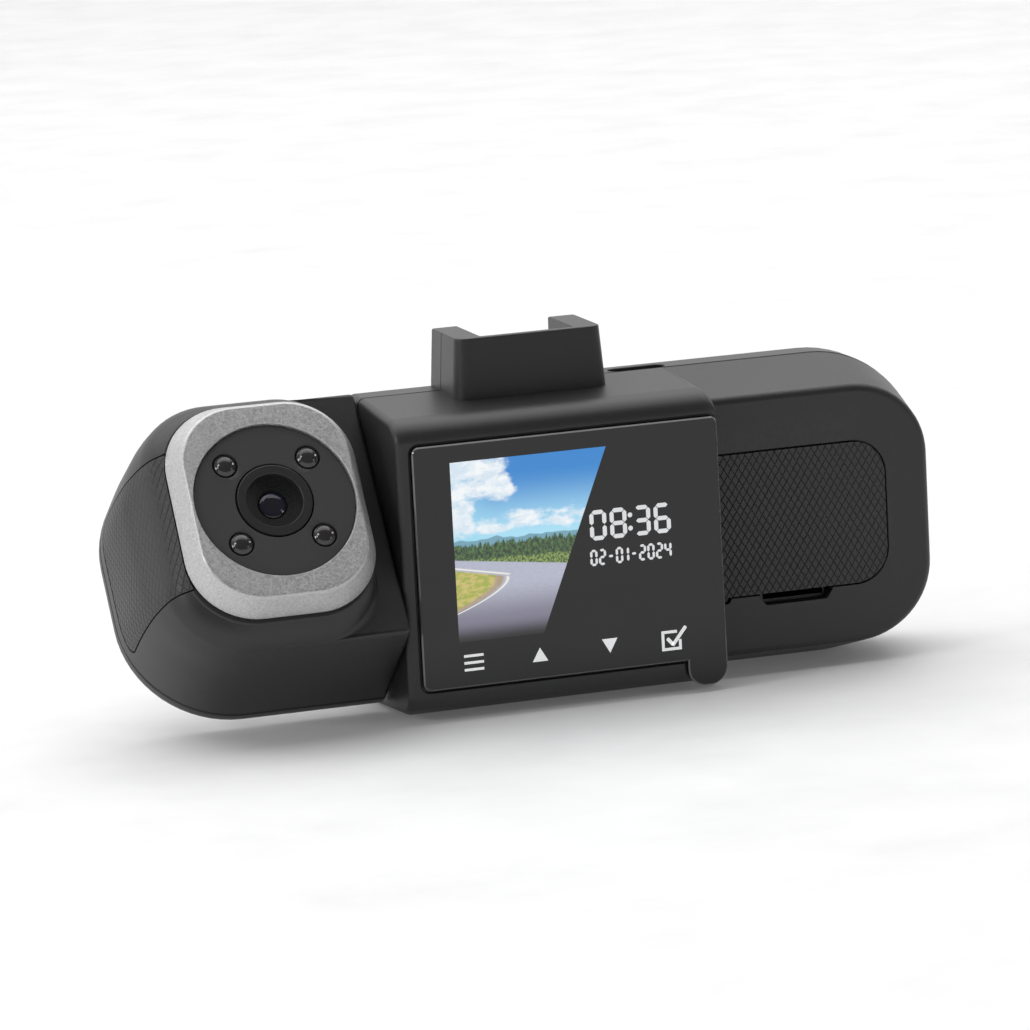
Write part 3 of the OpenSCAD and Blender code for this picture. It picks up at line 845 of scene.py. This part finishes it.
def build_rear_shell():
    shell = loft("rear_shell_skin", back_rings(-BLOCK_HALF_W, BODY_END_X, SEAM_HALF_H, 19.6,
                                               1.3, SEAM_Y, 6.0))
    cut(shell, usb_slot(), screw_wells(BODY_SCREWS, 2.2, 7.0), speaker_slots())
    set_in(shell, BODY, SHELL, "body", ["rear_shell"])


def build_shoe():
    """U-shaped shoe for the windscreen bracket, open at the rear."""
    ease = 0.3
    lip = 0.2
    rows = [(SHOE_FOOT, 0.75), (SHOE_TOP - ease, 0.0)]
    for a in (22, 45, 68, 90):
        t = math.radians(a)
        rows.append((SHOE_TOP - ease + ease * math.sin(t), -ease * (1 - math.cos(t))))
    corners = [(0.7, 0.7), (0.7, 0.7), (2.1, 2.1), (2.1, 2.1)]
    shoe = loft("shoe", [at_height(outline(-SHOE_HALF_W, SHOE_HALF_W, SHOE_FRONT_Y,
                                           SHOE_REAR_Y, corners, -grow), z)
                         for z, grow in rows])

    def pocket(grow):
        return outline(-SHOE_HALF_GAP - grow, SHOE_HALF_GAP + grow, SHOE_INNER_Y - grow, 31.0,
                       evenly(0.5))

    rows = [(0.0, SHOE_SEAT_Z), (0.0, SHOE_TOP - lip), (lip, SHOE_TOP), (lip, SHOE_TOP + 2)]
    cut(shoe, loft("tool", [at_height(pocket(grow), z) for grow, z in rows]))
    groove = 0.12
    cut(shoe, *[brick((x, SEAM_Y - groove, 26.9), (x + 2, SEAM_Y + groove, SHOE_TOP + 1))
                for x in (12.7, -14.7)])
    set_in(shoe, BODY, SHELL, "body", ["front_shell", "rear_shell"])


# ---- display ----

def build_glass():
    rows = [(0.0, 0.26), (0.2, 0.04), (0.28, 0.0), (1.18, 0.0)]
    glass = loft("cover_glass", [at_depth(glass_points(inset), y) for y, inset in rows])
    set_in(glass, BODY, GLASS, "body", ["screen_glass"], smooth=30)
    # The bevel faces take the lighter glass_edge colour, in part a painted highlight round the
    # glass.
    glass.data.materials.append(GLASS_EDGE)
    for face in glass.data.polygons:
        if -0.95 < face.normal.y < -0.3:
            face.material_index = 1


def printed(name, shapes, material, proud=0.02):
    """Thin printed shapes on the glass, each an anticlockwise list of (x, z)."""
    piece = joined([loft("shape", [at_depth(shape, -proud), at_depth(shape, 0.004)])
                    for shape in shapes])
    piece.name = name
    set_in(piece, BODY, material, "body")


def bar(x0, z0, x1, z1, t, point=0.0):
    """Bar of thickness t between two points, with pointed ends."""
    length = math.hypot(x1 - x0, z1 - z0)
    ux, uz = (x1 - x0) / length, (z1 - z0) / length
    px, pz = -uz * t / 2, ux * t / 2
    shape = [(x0, z0), (x0 + ux * point - px, z0 + uz * point - pz),
             (x1 - ux * point - px, z1 - uz * point - pz), (x1, z1),
             (x1 - ux * point + px, z1 - uz * point + pz),
             (x0 + ux * point + px, z0 + uz * point + pz)]
    if not point:
        shape = [shape[k] for k in (1, 2, 4, 5)]
    return shape


SEGMENTS = {"0": "abcdef", "1": "bc", "2": "abged", "3": "abgcd", "4": "fgbc",
            "6": "afgedc", "8": "abcdefg", "-": "g"}


def digit(sign, x, z, w, h, t):
    """Segments of one digit whose lower left corner is at (x, z)."""
    half = h / 2
    gap = t * 0.1
    ends = {"a": (x, z + h, x + w, z + h), "g": (x, z + half, x + w, z + half),
            "d": (x, z, x + w, z), "f": (x, z + h, x, z + half),
            "b": (x + w, z + h, x + w, z + half), "e": (x, z + half, x, z),
            "c": (x + w, z + half, x + w, z)}
    shapes = []
    for name in SEGMENTS[sign]:
        x0, z0, x1, z1 = ends[name]
        length = math.hypot(x1 - x0, z1 - z0)
        ux, uz = (x1 - x0) / length, (z1 - z0) / length
        shapes.append(bar(x0 + ux * gap, z0 + uz * gap, x1 - ux * gap, z1 - uz * gap, t, t / 2))
    return shapes


def build_clock(material):
    """Hours and minutes, then the date under them."""
    shapes = []
    for sign, x in zip("0836", (5.1, 8.75, 13.05, 16.7)):
        shapes += digit(sign, x, 2.3, 2.3, 4.5, 0.74)
    for z in (3.4, 5.7):
        shapes.append(circle_points(12.05, z, 0.42))
    printed("clock_digits", shapes, material)
    shapes = []
    pitch = 1.54
    narrow = 0.45
    x = 4.75
    for sign in "02-01-2024":
        if sign == "1":
            x -= narrow
        shapes += digit(sign, x, -2.25, 0.92, 2.4, 0.42)
        x += pitch
    printed("date_digits", shapes, material)


def build_icons(material):
    shapes = [bar(-18.9, z, -15.4, z, 0.45) for z in (-15.5, -16.7, -17.9)]
    shapes.append([(-6.7, -17.9), (-3.9, -17.9), (-5.3, -15.5)])
    shapes.append([(5.9, -15.35), (7.3, -17.85), (8.7, -15.35)])
    low_x, high_x = 16.95, 20.05
    low_z, high_z = -18.45, -15.45
    t = 0.5
    shapes += [bar(low_x - t / 2, high_z, high_x - 0.5, high_z, t),
               bar(low_x - t / 2, low_z, high_x + t / 2, low_z, t),
               bar(low_x, low_z + t / 2 + 0.01, low_x, high_z - t / 2 - 0.01, t),
               bar(high_x, low_z + t / 2 + 0.01, high_x, -16.9, t)]
    printed("touch_keys", shapes, material)
    tick = [bar(17.7, -16.5, 18.78, -17.75, 0.62, 0.1), bar(18.6, -17.9, 21.2, -14.7, 0.62, 0.1)]
    printed("check_key_tick", tick, material, 0.026)


def picture_material():
    material, shader = new_material("display_picture", Coat_Weight=0.4, Coat_Roughness=0.04,
                                    Emission_Strength=0.93)
    view = use_group(shader, make_view_group())
    dress(shader, view, Dark="Base Color", Colour="Emission Color", Roughness="Roughness")
    return material


def make_view_group():
    """A generic view of a road: sky, cloud, a line of conifers and a bend in the road."""
    tree, given, result = new_group("road_view", {"Zoom": 1000.0},
                                    ["Colour", "Dark", "Roughness"])
    place = node(tree, "SeparateXYZ", {0: object_place(tree)})
    x = Value(place.outputs[0]) * given["Zoom"]
    z = Value(place.outputs[2]) * given["Zoom"] - BODY_RISE
    flat = Value(node(tree, "CombineXYZ", {0: x, 1: z}).outputs[0])

    def speckle(across, up, detail=2.0, roughness=0.5):
        """Noise with so many spots per millimetre across and up."""
        made = node(tree, "VectorMath", {0: flat, 1: (across, up, 1)}, operation="MULTIPLY")
        return noise(Value(made.outputs[0]), 1.0, detail, roughness)

    def over(slope, height):
        """z minus the height of a straight line at x."""
        return z - x * slope - height

    # sky
    sky = mixed(span(z, 3.5, 16.0), (0.4, 0.76, 0.94, 1), (0.012, 0.22, 0.62, 1))
    sky = mixed(span(x, -11.0, -19.5, 0.0, 0.75), sky, (0.3, 0.68, 0.86, 1))
    puffs = speckle(0.17, 0.3, 6.0, 0.56)
    bank = span(x, -7.0, -10.5) * span(z, 9.6, 12.6)
    tower = span(x, -14.0, -17.5) * span(z, 4.0, 7.0)
    low = span(z, 4.4, 6.0) * span(z, 9.6, 7.4) * span(x, -15.0, -10.0, 0.35, 0.8)
    cloud = span(puffs + bank.or_more(tower).or_more(low) * 0.3, 0.6, 0.78)
    shade = speckle(0.3, 0.5, 4.0, 0.6)
    white = mixed(span(shade, 0.35, 0.65), (0.66, 0.79, 0.9, 1), (0.93, 0.96, 0.98, 1))
    colour = mixed(cloud, sky, white)

    # far hills, conifers and the bushes at their foot
    hill = z - (speckle(0.2, 0.0) * 2.4 + 3.1)
    colour = mixed(span(hill, 0.1, -0.1), colour, (0.16, 0.36, 0.46, 1))
    crown = z - (speckle(1.5, 0.06, 3.0, 0.7) * 4.4 + 1.3)
    leaves = speckle(2.0, 1.4, 4.0, 0.7)
    green = mixed(span(leaves, 0.4, 0.62), (0.005, 0.02, 0.008, 1), (0.07, 0.17, 0.04, 1))
    colour = mixed(span(crown, 0.15, -0.15), colour, green)
    bush = over(-0.02, -0.1) - speckle(0.9, 0.2, 3.0, 0.7) * 1.6
    sprigs = speckle(2.6, 2.2, 4.0, 0.7)
    hedge = mixed(span(sprigs, 0.4, 0.62), (0.02, 0.06, 0.012, 1), (0.3, 0.42, 0.1, 1))
    colour = mixed(span(bush, 0.15, -0.3), colour, hedge)

    # road, verge and its white edge line
    grit = speckle(1.2, 3.0, 4.0, 0.7)
    tarmac = mixed(grit, (0.36, 0.38, 0.48, 1), (0.54, 0.56, 0.68, 1))
    tarmac = mixed(span(z, -3.0, -10.0), tarmac, (0.2, 0.19, 0.26, 1))
    colour = mixed(span(over(-0.125, -1.25), 0.1, -0.15), colour, tarmac)
    reach = (-2.9 - z).or_more(0.0) ** 1.6
    bay = -10.9 - reach * 0.66 - x
    far_bank = over(-0.2, -4.55)
    patches = speckle(0.8, 1.6, 3.0)
    grass = mixed(span(patches, 0.4, 0.6), (0.36, 0.42, 0.06, 1), (0.6, 0.5, 0.16, 1))
    sand = mixed(patches, (0.3, 0.22, 0.14, 1), (0.56, 0.44, 0.3, 1))
    grass = mixed(span(bay, 2.2, 1.2), grass, sand)
    inside = span(far_bank, 0.15, -0.15)
    colour = mixed(span(bay, 0.0, 0.4) * inside, colour, grass)
    near_line = span(abs(bay + 0.55), 0.34, 0.16) * inside
    far_line = span(abs(far_bank - 0.4), 0.2, 0.08) * span(x, -9.6, -10.4)
    colour = mixed(near_line.or_more(far_line), colour, (0.85, 0.83, 0.78, 1))

    # the foot of the picture fades out
    fade = span(z, -13.0, -9.4)
    feed(mixed(fade, (0.0, 0.0, 0.0, 1), colour), result["Colour"])
    feed(mixed(fade, (0.012, 0.012, 0.013, 1), (0.02, 0.02, 0.02, 1)), result["Dark"])
    feed(span(grit, 0.0, 1.0, 0.08, 0.12), result["Roughness"])
    return tree


def lit_print(name, colour, spread, roughness, **constants):
    """White print that the display or its backlight shows. It takes its own colour as its
    base, unless it is given another."""
    material, shader = new_material(name, **constants)
    grain = use_group(shader, GRAIN, Colour=(*colour, 1), Grain_Scale=500.0,
                      Tone_Spread=spread, Roughness=roughness)
    dress(shader, grain, Colour="Emission Color", Roughness="Roughness")
    if "Base_Color" not in constants:
        dress(shader, grain, Colour="Base Color")
    return material


def build_display():
    build_glass()
    picture = [(-4.4, -13), (8.3, 18), (-19.6, 18), (-19.6, -13)]
    printed("display_picture", [picture], picture_material(), 0.012)
    build_clock(lit_print("lit_white", (0.8, 0.82, 0.84), 0.06, 0.3, Emission_Strength=0.8,
                          Base_Color=(0.1, 0.1, 0.1, 1)))
    build_icons(lit_print("key_print", (0.75, 0.76, 0.77), 0.1, 0.35,
                          Emission_Strength=0.45))


def build_wing_inlay():
    border = wing_inlay_points()
    cells, origin = diamond_cells(border)

    def put(u, v, height):
        return (u, WING_Y - height, v)

    inlay = slab("wing_inlay_relief", cells, put, -1.1,
                 lambda u, v: -0.1 + diamond_height(u, v, origin, 0.1))
    set_in(inlay, BODY, INLAY, "body", ["wing_inlay"], smooth=20)


# ---- pod ----

POD_LEFT = [(1.6, -66.4), (3.4, -68.3), (5.4, -69.4), (6.4, -69.8), (10, -71.0),
            (14, -72.1), (20, -72.9), (28.6, -73.4)]
POD_HALF = [(1.6, 19.6), (3.4, 21.4), (5.4, 22.6), (6.4, 22.9), (10, 23.2), (14, 23.6),
            (28.6, 24.8)]
POD_LEFT_R = [(1.6, 11.8), (3.4, 12.2), (6.4, 13.0), (10, 14), (14, 16), (28.6, 19)]
SWELL_RIGHT = -33.3
SWELL_RIGHT_R = 11.6
SCOOP_R = 1.3


def eased(keys, y):
    """Smooth curve through (depth, value) pairs."""
    if y <= keys[0][0]:
        return keys[0][1]
    if y >= keys[-1][0]:
        return keys[-1][1]
    k = 0
    while keys[k + 1][0] < y:
        k += 1

    def slope(i):
        if i == 0 or i == len(keys) - 1:
            a, b = (0, 1) if i == 0 else (i - 1, i)
            return (keys[b][1] - keys[a][1]) / (keys[b][0] - keys[a][0])
        before = (keys[i][1] - keys[i - 1][1]) / (keys[i][0] - keys[i - 1][0])
        after = (keys[i + 1][1] - keys[i][1]) / (keys[i + 1][0] - keys[i][0])
        if before * after <= 0:
            return 0.0
        return 2 * before * after / (before + after)

    width = keys[k + 1][0] - keys[k][0]
    t = (y - keys[k][0]) / width
    a, b = keys[k][1], keys[k + 1][1]
    sa, sb = slope(k) * width, slope(k + 1) * width
    return (a * (2 * t ** 3 - 3 * t ** 2 + 1) + sa * (t ** 3 - 2 * t ** 2 + t)
            + b * (3 * t ** 2 - 2 * t ** 3) + sb * (t ** 3 - t ** 2))


def lean_shift(y, z):
    """How far the leaning camera face brings a point forwards."""
    share = max(0.0, min(1.0, (POD_FACE_Y - y) / (POD_FACE_Y - BEZEL_BASE_Y)))
    return -share * z * math.tan(math.radians(CABIN_LEAN))


def swell_outline(y):
    """Round the swelling that carries the camera."""
    half = eased(POD_HALF, y)
    corners = sided(SWELL_RIGHT_R, eased(POD_LEFT_R, y))
    return outline(eased(POD_LEFT, y), SWELL_RIGHT, -half, half, corners, straight=12)


def flat_outline(y, inset=0.0):
    """Round the whole pod."""
    half = eased(POD_HALF, y)
    corners = sided(POD_CORNER_R, eased(POD_LEFT_R, y))
    return outline(eased(POD_LEFT, y), POD_RIGHT_X, -half, half, corners, inset, straight=12)


def pod_rows():
    """Rings of the pod's front half: the swelling, the scoop beside it, the flat part."""
    rings = []
    face_r = 0.5
    for depth, inset in fillet(face_r, 3)[:-1]:
        y = BEZEL_BASE_Y + 0.02 + depth
        base = swell_outline(BEZEL_BASE_Y + face_r)
        middle = CABIN_X
        ring = []
        for x, z in base:
            length = math.hypot(x - middle, z)
            k = (length - inset) / length
            ring.append((middle + (x - middle) * k, z * k))
        rings.append([(x, y + lean_shift(y, z), z) for x, z in ring])
    start = BEZEL_BASE_Y + 0.02 + face_r
    stop = POD_FACE_Y - SCOOP_R
    for i in range(9):
        y = start + (stop - start) * i / 8
        rings.append([(x, y + lean_shift(y, z), z) for x, z in swell_outline(y)])
    for i in range(1, 9):
        t = math.radians(90 * i / 8)
        y = stop + SCOOP_R * math.sin(t)
        reach = SCOOP_R * (1 - math.cos(t))
        ring = []
        for (sx, sz), (fx, fz) in zip(swell_outline(y), flat_outline(y)):
            far = math.hypot(fx - sx, fz - sz)
            k = min(1.0, reach / far) if far > 1e-6 else 0.0
            ring.append((sx + (fx - sx) * k, y + lean_shift(y, sz), sz + (fz - sz) * k))
        rings.append(ring)
    rounding = 0.7
    swell = swell_outline(POD_FACE_Y)
    for depth, inset in fillet(rounding, 5):
        y = POD_FACE_Y + depth
        ring = []
        whole = flat_outline(y)
        inner = flat_outline(y, inset)
        for (fx, fz), (gx, gz), (sx, sz) in zip(whole, inner, swell):
            k = min(1.0, math.hypot(fx - sx, fz - sz) / 3.0)
            ring.append((fx + (gx - fx) * k, y, fz + (gz - fz) * k))
        rings.append(ring)
    for y in (8.2, 9.5, 11, 12.5, 14, 16, 18, 20, 22.5, 25, 27):
        rings.append(at_depth(flat_outline(y), y))
    edge = POD_SEAM_Y - SEAM_HALF_GAP
    rings.append(at_depth(flat_outline(edge - SEAM_LIP), edge - SEAM_LIP))
    rings.append(at_depth(flat_outline(edge, SEAM_LIP), edge))
    return rings


def pod_side(y, z):
    """Point of the pod's left wall at level y and height z."""
    left = eased(POD_LEFT, y)
    r = eased(POD_LEFT_R, y)
    bend = abs(z) - (eased(POD_HALF, y) - r)
    x = left
    if bend > 0:
        x = left + r - math.sqrt(max(r * r - bend * bend, 0.0))
    return Vector((x, y + lean_shift(y, z), z))


def side_levels():
    """Arc length along the left wall for each level, at mid height."""
    table = [(0.0, BEZEL_BASE_Y)]
    last = pod_side(BEZEL_BASE_Y, 0)
    steps = 90
    for i in range(1, steps + 1):
        y = BEZEL_BASE_Y + 26.0 * i / steps
        point = pod_side(y, 0)
        table.append((table[-1][0] + (point - last).length, y))
        last = point
    return table


SIDE_LEVELS = side_levels()


def put_on_side(u, v, height):
    """Point at arc length u and height v on the left wall, raised by height."""
    k = 0
    while k < len(SIDE_LEVELS) - 2 and SIDE_LEVELS[k + 1][0] < u:
        k += 1
    (u0, y0), (u1, y1) = SIDE_LEVELS[k], SIDE_LEVELS[k + 1]
    y = y0 + (y1 - y0) * (u - u0) / (u1 - u0)
    step = 0.05
    along = pod_side(y + step, v) - pod_side(y - step, v)
    across = pod_side(y, v + step) - pod_side(y, v - step)
    normal = along.cross(across).normalized()
    if normal.x > 0:
        normal = -normal
    return pod_side(y, v) + normal * height


def pod_inlay_points(inset=0.0):
    front = 0.2
    end = [u for u, y in SIDE_LEVELS if y <= POD_INLAY_END_Y][-1]
    return outline(front, end, -POD_INLAY_HALF_H, POD_INLAY_HALF_H, sided(1.6, 0.3), inset)


def build_pod_front():
    shell = loft("pod_front_skin", pod_rows())
    recess = square_cells(pod_inlay_points(-0.26), 0.8)
    cut(shell, slab("tool", recess, put_on_side, -1.0, 1.5))
    set_in(shell, POD, SHELL, "pod", ["pod_front_shell"], smooth=28)
    cells, origin = diamond_cells(pod_inlay_points())
    inlay = slab("pod_inlay_relief", cells, put_on_side, -0.95,
                 lambda u, v: -0.08 + diamond_height(u, v, origin, 0.05))
    set_in(inlay, POD, INLAY, "pod", ["pod_inlay"], smooth=20)


def build_pod_rear():
    cover = loft("pod_rear_skin", back_rings(POD_LEFT_X, POD_RIGHT_X, POD_BACK_HALF_H,
                                             POD_CORNER_R, POD_BACK_LEFT_R, POD_SEAM_Y, 3.25))
    cut(cover, screw_wells(POD_SCREWS, 2.1, 3.2))
    set_in(cover, POD, SHELL, "pod", ["pod_rear_cover"])


# ---- camera faces ----

def bezel_ring(grow, z):
    r = 10.4 + grow * 0.7
    points = outline(-BEZEL_W / 2 - grow, BEZEL_W / 2 + grow, -BEZEL_H / 2 - grow,
                     BEZEL_H / 2 + grow, evenly(r), straight=8)
    return at_height(points, z)


def bezel_circle(r, z):
    ring = []
    for x, y, _ in bezel_ring(0, z):
        a = math.atan2(y, x)
        ring.append((r * math.cos(a), r * math.sin(a), z))
    return ring


def build_bezel(name, depth, place, body, replaced):
    """Ring from its hidden foot up the round opening, over the crest and down the flare."""
    back_r, back_z = 12.6, -2.45
    crest_z = -0.74
    foot = -depth + 0.35
    bore = [(back_r, -depth), (back_r, back_z), (FACE_R + 0.1, back_z),
            (FACE_R + 0.1, -0.32), (FACE_R + 0.13, -0.1), (FACE_R + 0.24, 0.0)]
    crest = [(-0.7, 0.0), (-0.52, -0.05), (-0.35, -0.17), (-0.14, -0.38), (0.0, crest_z)]
    flare = [(BEZEL_FLARE * t ** 0.9, crest_z + (foot - crest_z) * t)
             for t in (0.25, 0.5, 0.75, 1.0)]
    base = [(BEZEL_FLARE - 0.05, -depth + 0.1), (BEZEL_FLARE - 0.25, -depth)]
    rings = [bezel_circle(r, z) for r, z in bore]
    rings += [bezel_ring(grow, z) for grow, z in crest + flare + base]
    bezel = loft(name, rings, wrapped=True)
    set_in(bezel, place, SILVER, body, replaced, smooth=40)


def lamp_tool(x, y):
    lip_r = 2.36
    tool = turned("tool", [(0, -2.0), (LAMP_HOLE_R, -2.0), (LAMP_HOLE_R, -0.85), (2.2, -0.68),
                           (lip_r, PLATE_TOP), (lip_r, 1), (0, 1)], closed=False)
    tool.data.transform(Matrix.Translation((x, y, 0)))
    return tool


def lamp_spots():
    return [(x * LAMP_OFFSET, y * LAMP_OFFSET) for x in (-1, 1) for y in (-1, 1)]


def build_face_plate(name, hole_r, lamps, place, body, replaced):
    back, edge = -2.35, -0.78
    plate = turned(name, [(hole_r, back), (FACE_R, back), (FACE_R, edge),
                          (FACE_R - 0.05, -0.66), (FACE_R - 0.18, PLATE_TOP),
                          (hole_r + 0.16, PLATE_TOP), (hole_r + 0.04, -0.65),
                          (hole_r, edge)])
    if lamps:
        cut(plate, joined([lamp_tool(x, y) for x, y in lamp_spots()]))
    set_in(plate, place, FACE, body, replaced)


def dome(radius, z, rise, steps):
    """(radius, z) points up a dome to the axis."""
    points = []
    for i in range(1, steps + 1):
        a = math.radians(90 * i / steps)
        points.append((radius * math.cos(a), z + rise * math.sin(a)))
    points[-1] = (0, points[-1][1])
    return points


def lamp_dome(x, y):
    profile = [(0, -2.6), (1.9, -2.6), (1.9, -0.72), (1.84, PLATE_TOP), (1.72, -0.52)]
    lamp = turned("infrared_lamp_domes", profile + dome(LAMP_R, -0.5, 0.62, 8), closed=False)
    lamp.data.transform(Matrix.Translation((x, y, 0)))
    return lamp


# A lead tip, light coloured: partly a painted glint on the lamp dome.
def lamp_lead_glint(x, y):
    return brick((x - 0.17, y - 0.14, -0.3), (x + 0.17, y + 0.14, -0.06), 0.04)


def build_lamps():
    """Four domes, with two lead tips inside each, whose light colour also paints the two glints
    on each dome.
    """
    domes = joined([lamp_dome(x, y) for x, y in lamp_spots()])
    domes.name = "infrared_lamp_domes"
    set_in(domes, CABIN, RESIN, "pod", ["infrared_lamps"], smooth=50)
    glinting_leads = joined([lamp_lead_glint(x + side * 1.2, y) for x, y in lamp_spots() for side in (-1, 1)])
    glinting_leads.name = "infrared_lamp_lead_glints"
    set_in(glinting_leads, CABIN, LEAD_GLINT, "pod", smooth=30)


def funnel(mouth_r, end_r, start_z, end_z, steps=5):
    """Steps from the mouth of a lens ring down to its glass."""
    start_r = mouth_r - 0.1
    points = []
    for k in range(steps):
        r = start_r + (end_r - start_r) * k / steps
        next_r = start_r + (end_r - start_r) * (k + 1) / steps
        z = start_z + (end_z - start_z) * (k + 1) / steps
        points += [(r - 0.02, z), (next_r, z + 0.02)]
    return points


def build_lens(prefix, outer_r, mouth_r, glass_r, place, body, nodes):
    """Lens ring with its stepped funnel, front element, and the coated one behind it."""
    ring_back, ring_top, mouth_z = -3.6, -0.4, -0.95
    seat_r, seat_z = glass_r + 0.35, -2.6
    bore_r = glass_r - 0.02
    profile = [(outer_r, ring_back), (outer_r, PLATE_TOP), (outer_r - 0.06, -0.47),
               (outer_r - 0.2, ring_top), (mouth_r + 0.12, ring_top), (mouth_r, -0.5),
               (mouth_r - 0.06, mouth_z)]
    profile += funnel(mouth_r, seat_r, mouth_z, -2.3)
    profile += [(seat_r, -2.5), (glass_r + 0.3, seat_z), (bore_r, seat_z), (bore_r, ring_back)]
    ring = turned(prefix + "_lens_ring_funnel", profile)
    set_in(ring, place, BLACK, body, [nodes[0]], smooth=25)
    foot, rise = -2.75, 0.3 * glass_r
    front = turned(prefix + "_lens_front",
                   [(0, -3.9), (glass_r - 0.03, -3.9), (glass_r - 0.03, foot)]
                   + dome(glass_r - 0.06, foot, rise, 10), closed=False)
    set_in(front, place, FRONT_LENS, body, [nodes[1]], smooth=60)
    trim_r = glass_r * 0.62
    trim = turned(prefix + "_lens_inner_ring", [
        (trim_r, foot + rise * 0.78 - 0.15), (trim_r + 0.16, foot + rise * 0.72),
        (trim_r + 0.02, foot + rise * 0.78 + 0.02), (trim_r - 0.12, foot + rise * 0.82)])
    set_in(trim, place, COATED, body, smooth=60)


def build_cameras():
    build_bezel("cabin_bezel_frame", CABIN_DEPTH, CABIN, "pod", ["cabin_bezel"])
    build_face_plate("cabin_face", 6.72, True, CABIN, "pod", ["cabin_face_plate"])
    build_lamps()
    build_lens("cabin", 6.5, 4.85, 2.6, CABIN, "pod", ["cabin_lens_ring", "cabin_lens_glass"])
    build_bezel("road_bezel_frame", ROAD_DEPTH, ROAD, "body", ["road_bezel"])
    build_face_plate("road_face", 8.75, False, ROAD, "body", ["road_face_plate"])
    build_lens("road", 8.5, 6.9, 4.2, ROAD, "body", ["road_lens_ring", "road_lens_glass"])


# ---- nodes that keep their CAD shape ----

def finish_nodes():
    finishes = {
        "main_board": BOARD, "road_sensor_board": BOARD, "cabin_sensor_board": BOARD,
        "lamp_board": BOARD, "battery": WHITE, "speaker": BLACK, "usb_c_receptacle": CAN,
        "microsd_socket": DARK_CAN, "lcd_module": CAN, "reset_switch": BLACK,
        "reset_button": BLACK, "shell_screws": STEEL, "pod_screws": STEEL,
        "road_lens_barrel": BLACK, "cabin_lens_barrel": BLACK, "swivel_hub": SHELL,
        "hub_clip": STEEL, "hub_washer": WHITE
    }
    for name, material in finishes.items():
        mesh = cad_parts[name].data
        mesh.materials.clear()
        mesh.materials.append(material)


# ---- studio ----

def floor_material():
    material, shader = new_material("studio_floor", Emission_Strength=0.08,
                                    Emission_Color=(1, 1, 1, 1))
    grain = use_group(shader, GRAIN, Colour=(0.86, 0.86, 0.86, 1), Grain_Scale=60.0,
                      Tone_Spread=0.01, Roughness=0.7)
    dress(shader, grain, Colour="Base Color", Roughness="Roughness")
    return material


def build_floor():
    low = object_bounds()[0].z
    half = 1.6
    mesh = bpy.data.meshes.new("floor")
    mesh.from_pydata([(-half, -half, low), (half, -half, low), (half, half, low),
                      (-half, half, low)], [], [(0, 1, 2, 3)])
    floor = bpy.data.objects.new("floor", mesh)
    bpy.context.scene.collection.objects.link(floor)
    mesh.materials.append(floor_material())


def area_light(name, where, aim, size, power):
    data = bpy.data.lights.new(name, "AREA")
    data.shape = "RECTANGLE"
    data.size = size[0]
    data.size_y = size[1]
    data.energy = power
    light = bpy.data.objects.new(name, data)
    light.location = where
    direction = Vector(aim) - Vector(where)
    light.rotation_euler = direction.to_track_quat("-Z", "Y").to_euler()
    bpy.context.scene.collection.objects.link(light)


def build_studio():
    """White surround that is dim towards the front, and three softboxes."""
    world = bpy.data.worlds.new("studio")
    bpy.context.scene.world = world
    world.use_nodes = True
    tree = world.node_tree
    background = tree.nodes["Background"].inputs
    around = Value(node(tree, "TexCoord").outputs["Generated"])
    ahead = Value(node(tree, "SeparateXYZ", {0: around}).outputs[1])
    seen = Value(node(tree, "LightPath").outputs["Is Camera Ray"])
    feed(span(ahead, -0.25, 0.55, 0.13, 1.0).or_more(seen), background["Strength"])
    feed((1, 1, 1, 1), background["Color"])
    area_light("top_softbox", (0.0, 0.5, 1.7), (0, 0.1, 0), (3.0, 2.2), 30)
    area_light("left_softbox", (-0.8, -0.25, 0.3), (-0.03, 0, 0), (0.22, 0.22), 1.7)
    area_light("right_softbox", (0.7, -0.65, 0.25), (0.0, 0, 0), (0.14, 0.14), 0.3)
    bpy.context.scene.view_settings.view_transform = "Standard"


def build_camera():
    yaw = 0.30624
    elevation = 0.185282
    roll = 0.0525186
    distance = 1000.0
    target = Vector((-8.5, 0, 7.885777))
    ahead = Vector((math.sin(yaw) * math.cos(elevation), math.cos(yaw) * math.cos(elevation),
                    -math.sin(elevation)))
    level = Vector((math.cos(yaw), -math.sin(yaw), 0))
    up = level.cross(ahead)
    right = level * math.cos(roll) - up * math.sin(roll)
    up = level * math.sin(roll) + up * math.cos(roll)
    place = BODY @ (target - ahead * distance)
    data = bpy.data.cameras.new("camera")
    data.sensor_width = 36.0
    data.lens = 206.01
    data.clip_start = 0.02
    data.clip_end = 30.0
    camera = bpy.data.objects.new("camera", data)
    turn = Matrix((right, up, -ahead)).transposed().to_4x4()
    camera.matrix_world = Matrix.Translation(place) @ turn
    bpy.context.scene.collection.objects.link(camera)
    bpy.context.scene.camera = camera


build_front_shell()
build_rear_shell()
build_shoe()
build_display()
build_wing_inlay()
build_pod_front()
build_pod_rear()
build_cameras()
finish_nodes()
build_floor()
build_studio()
build_camera()
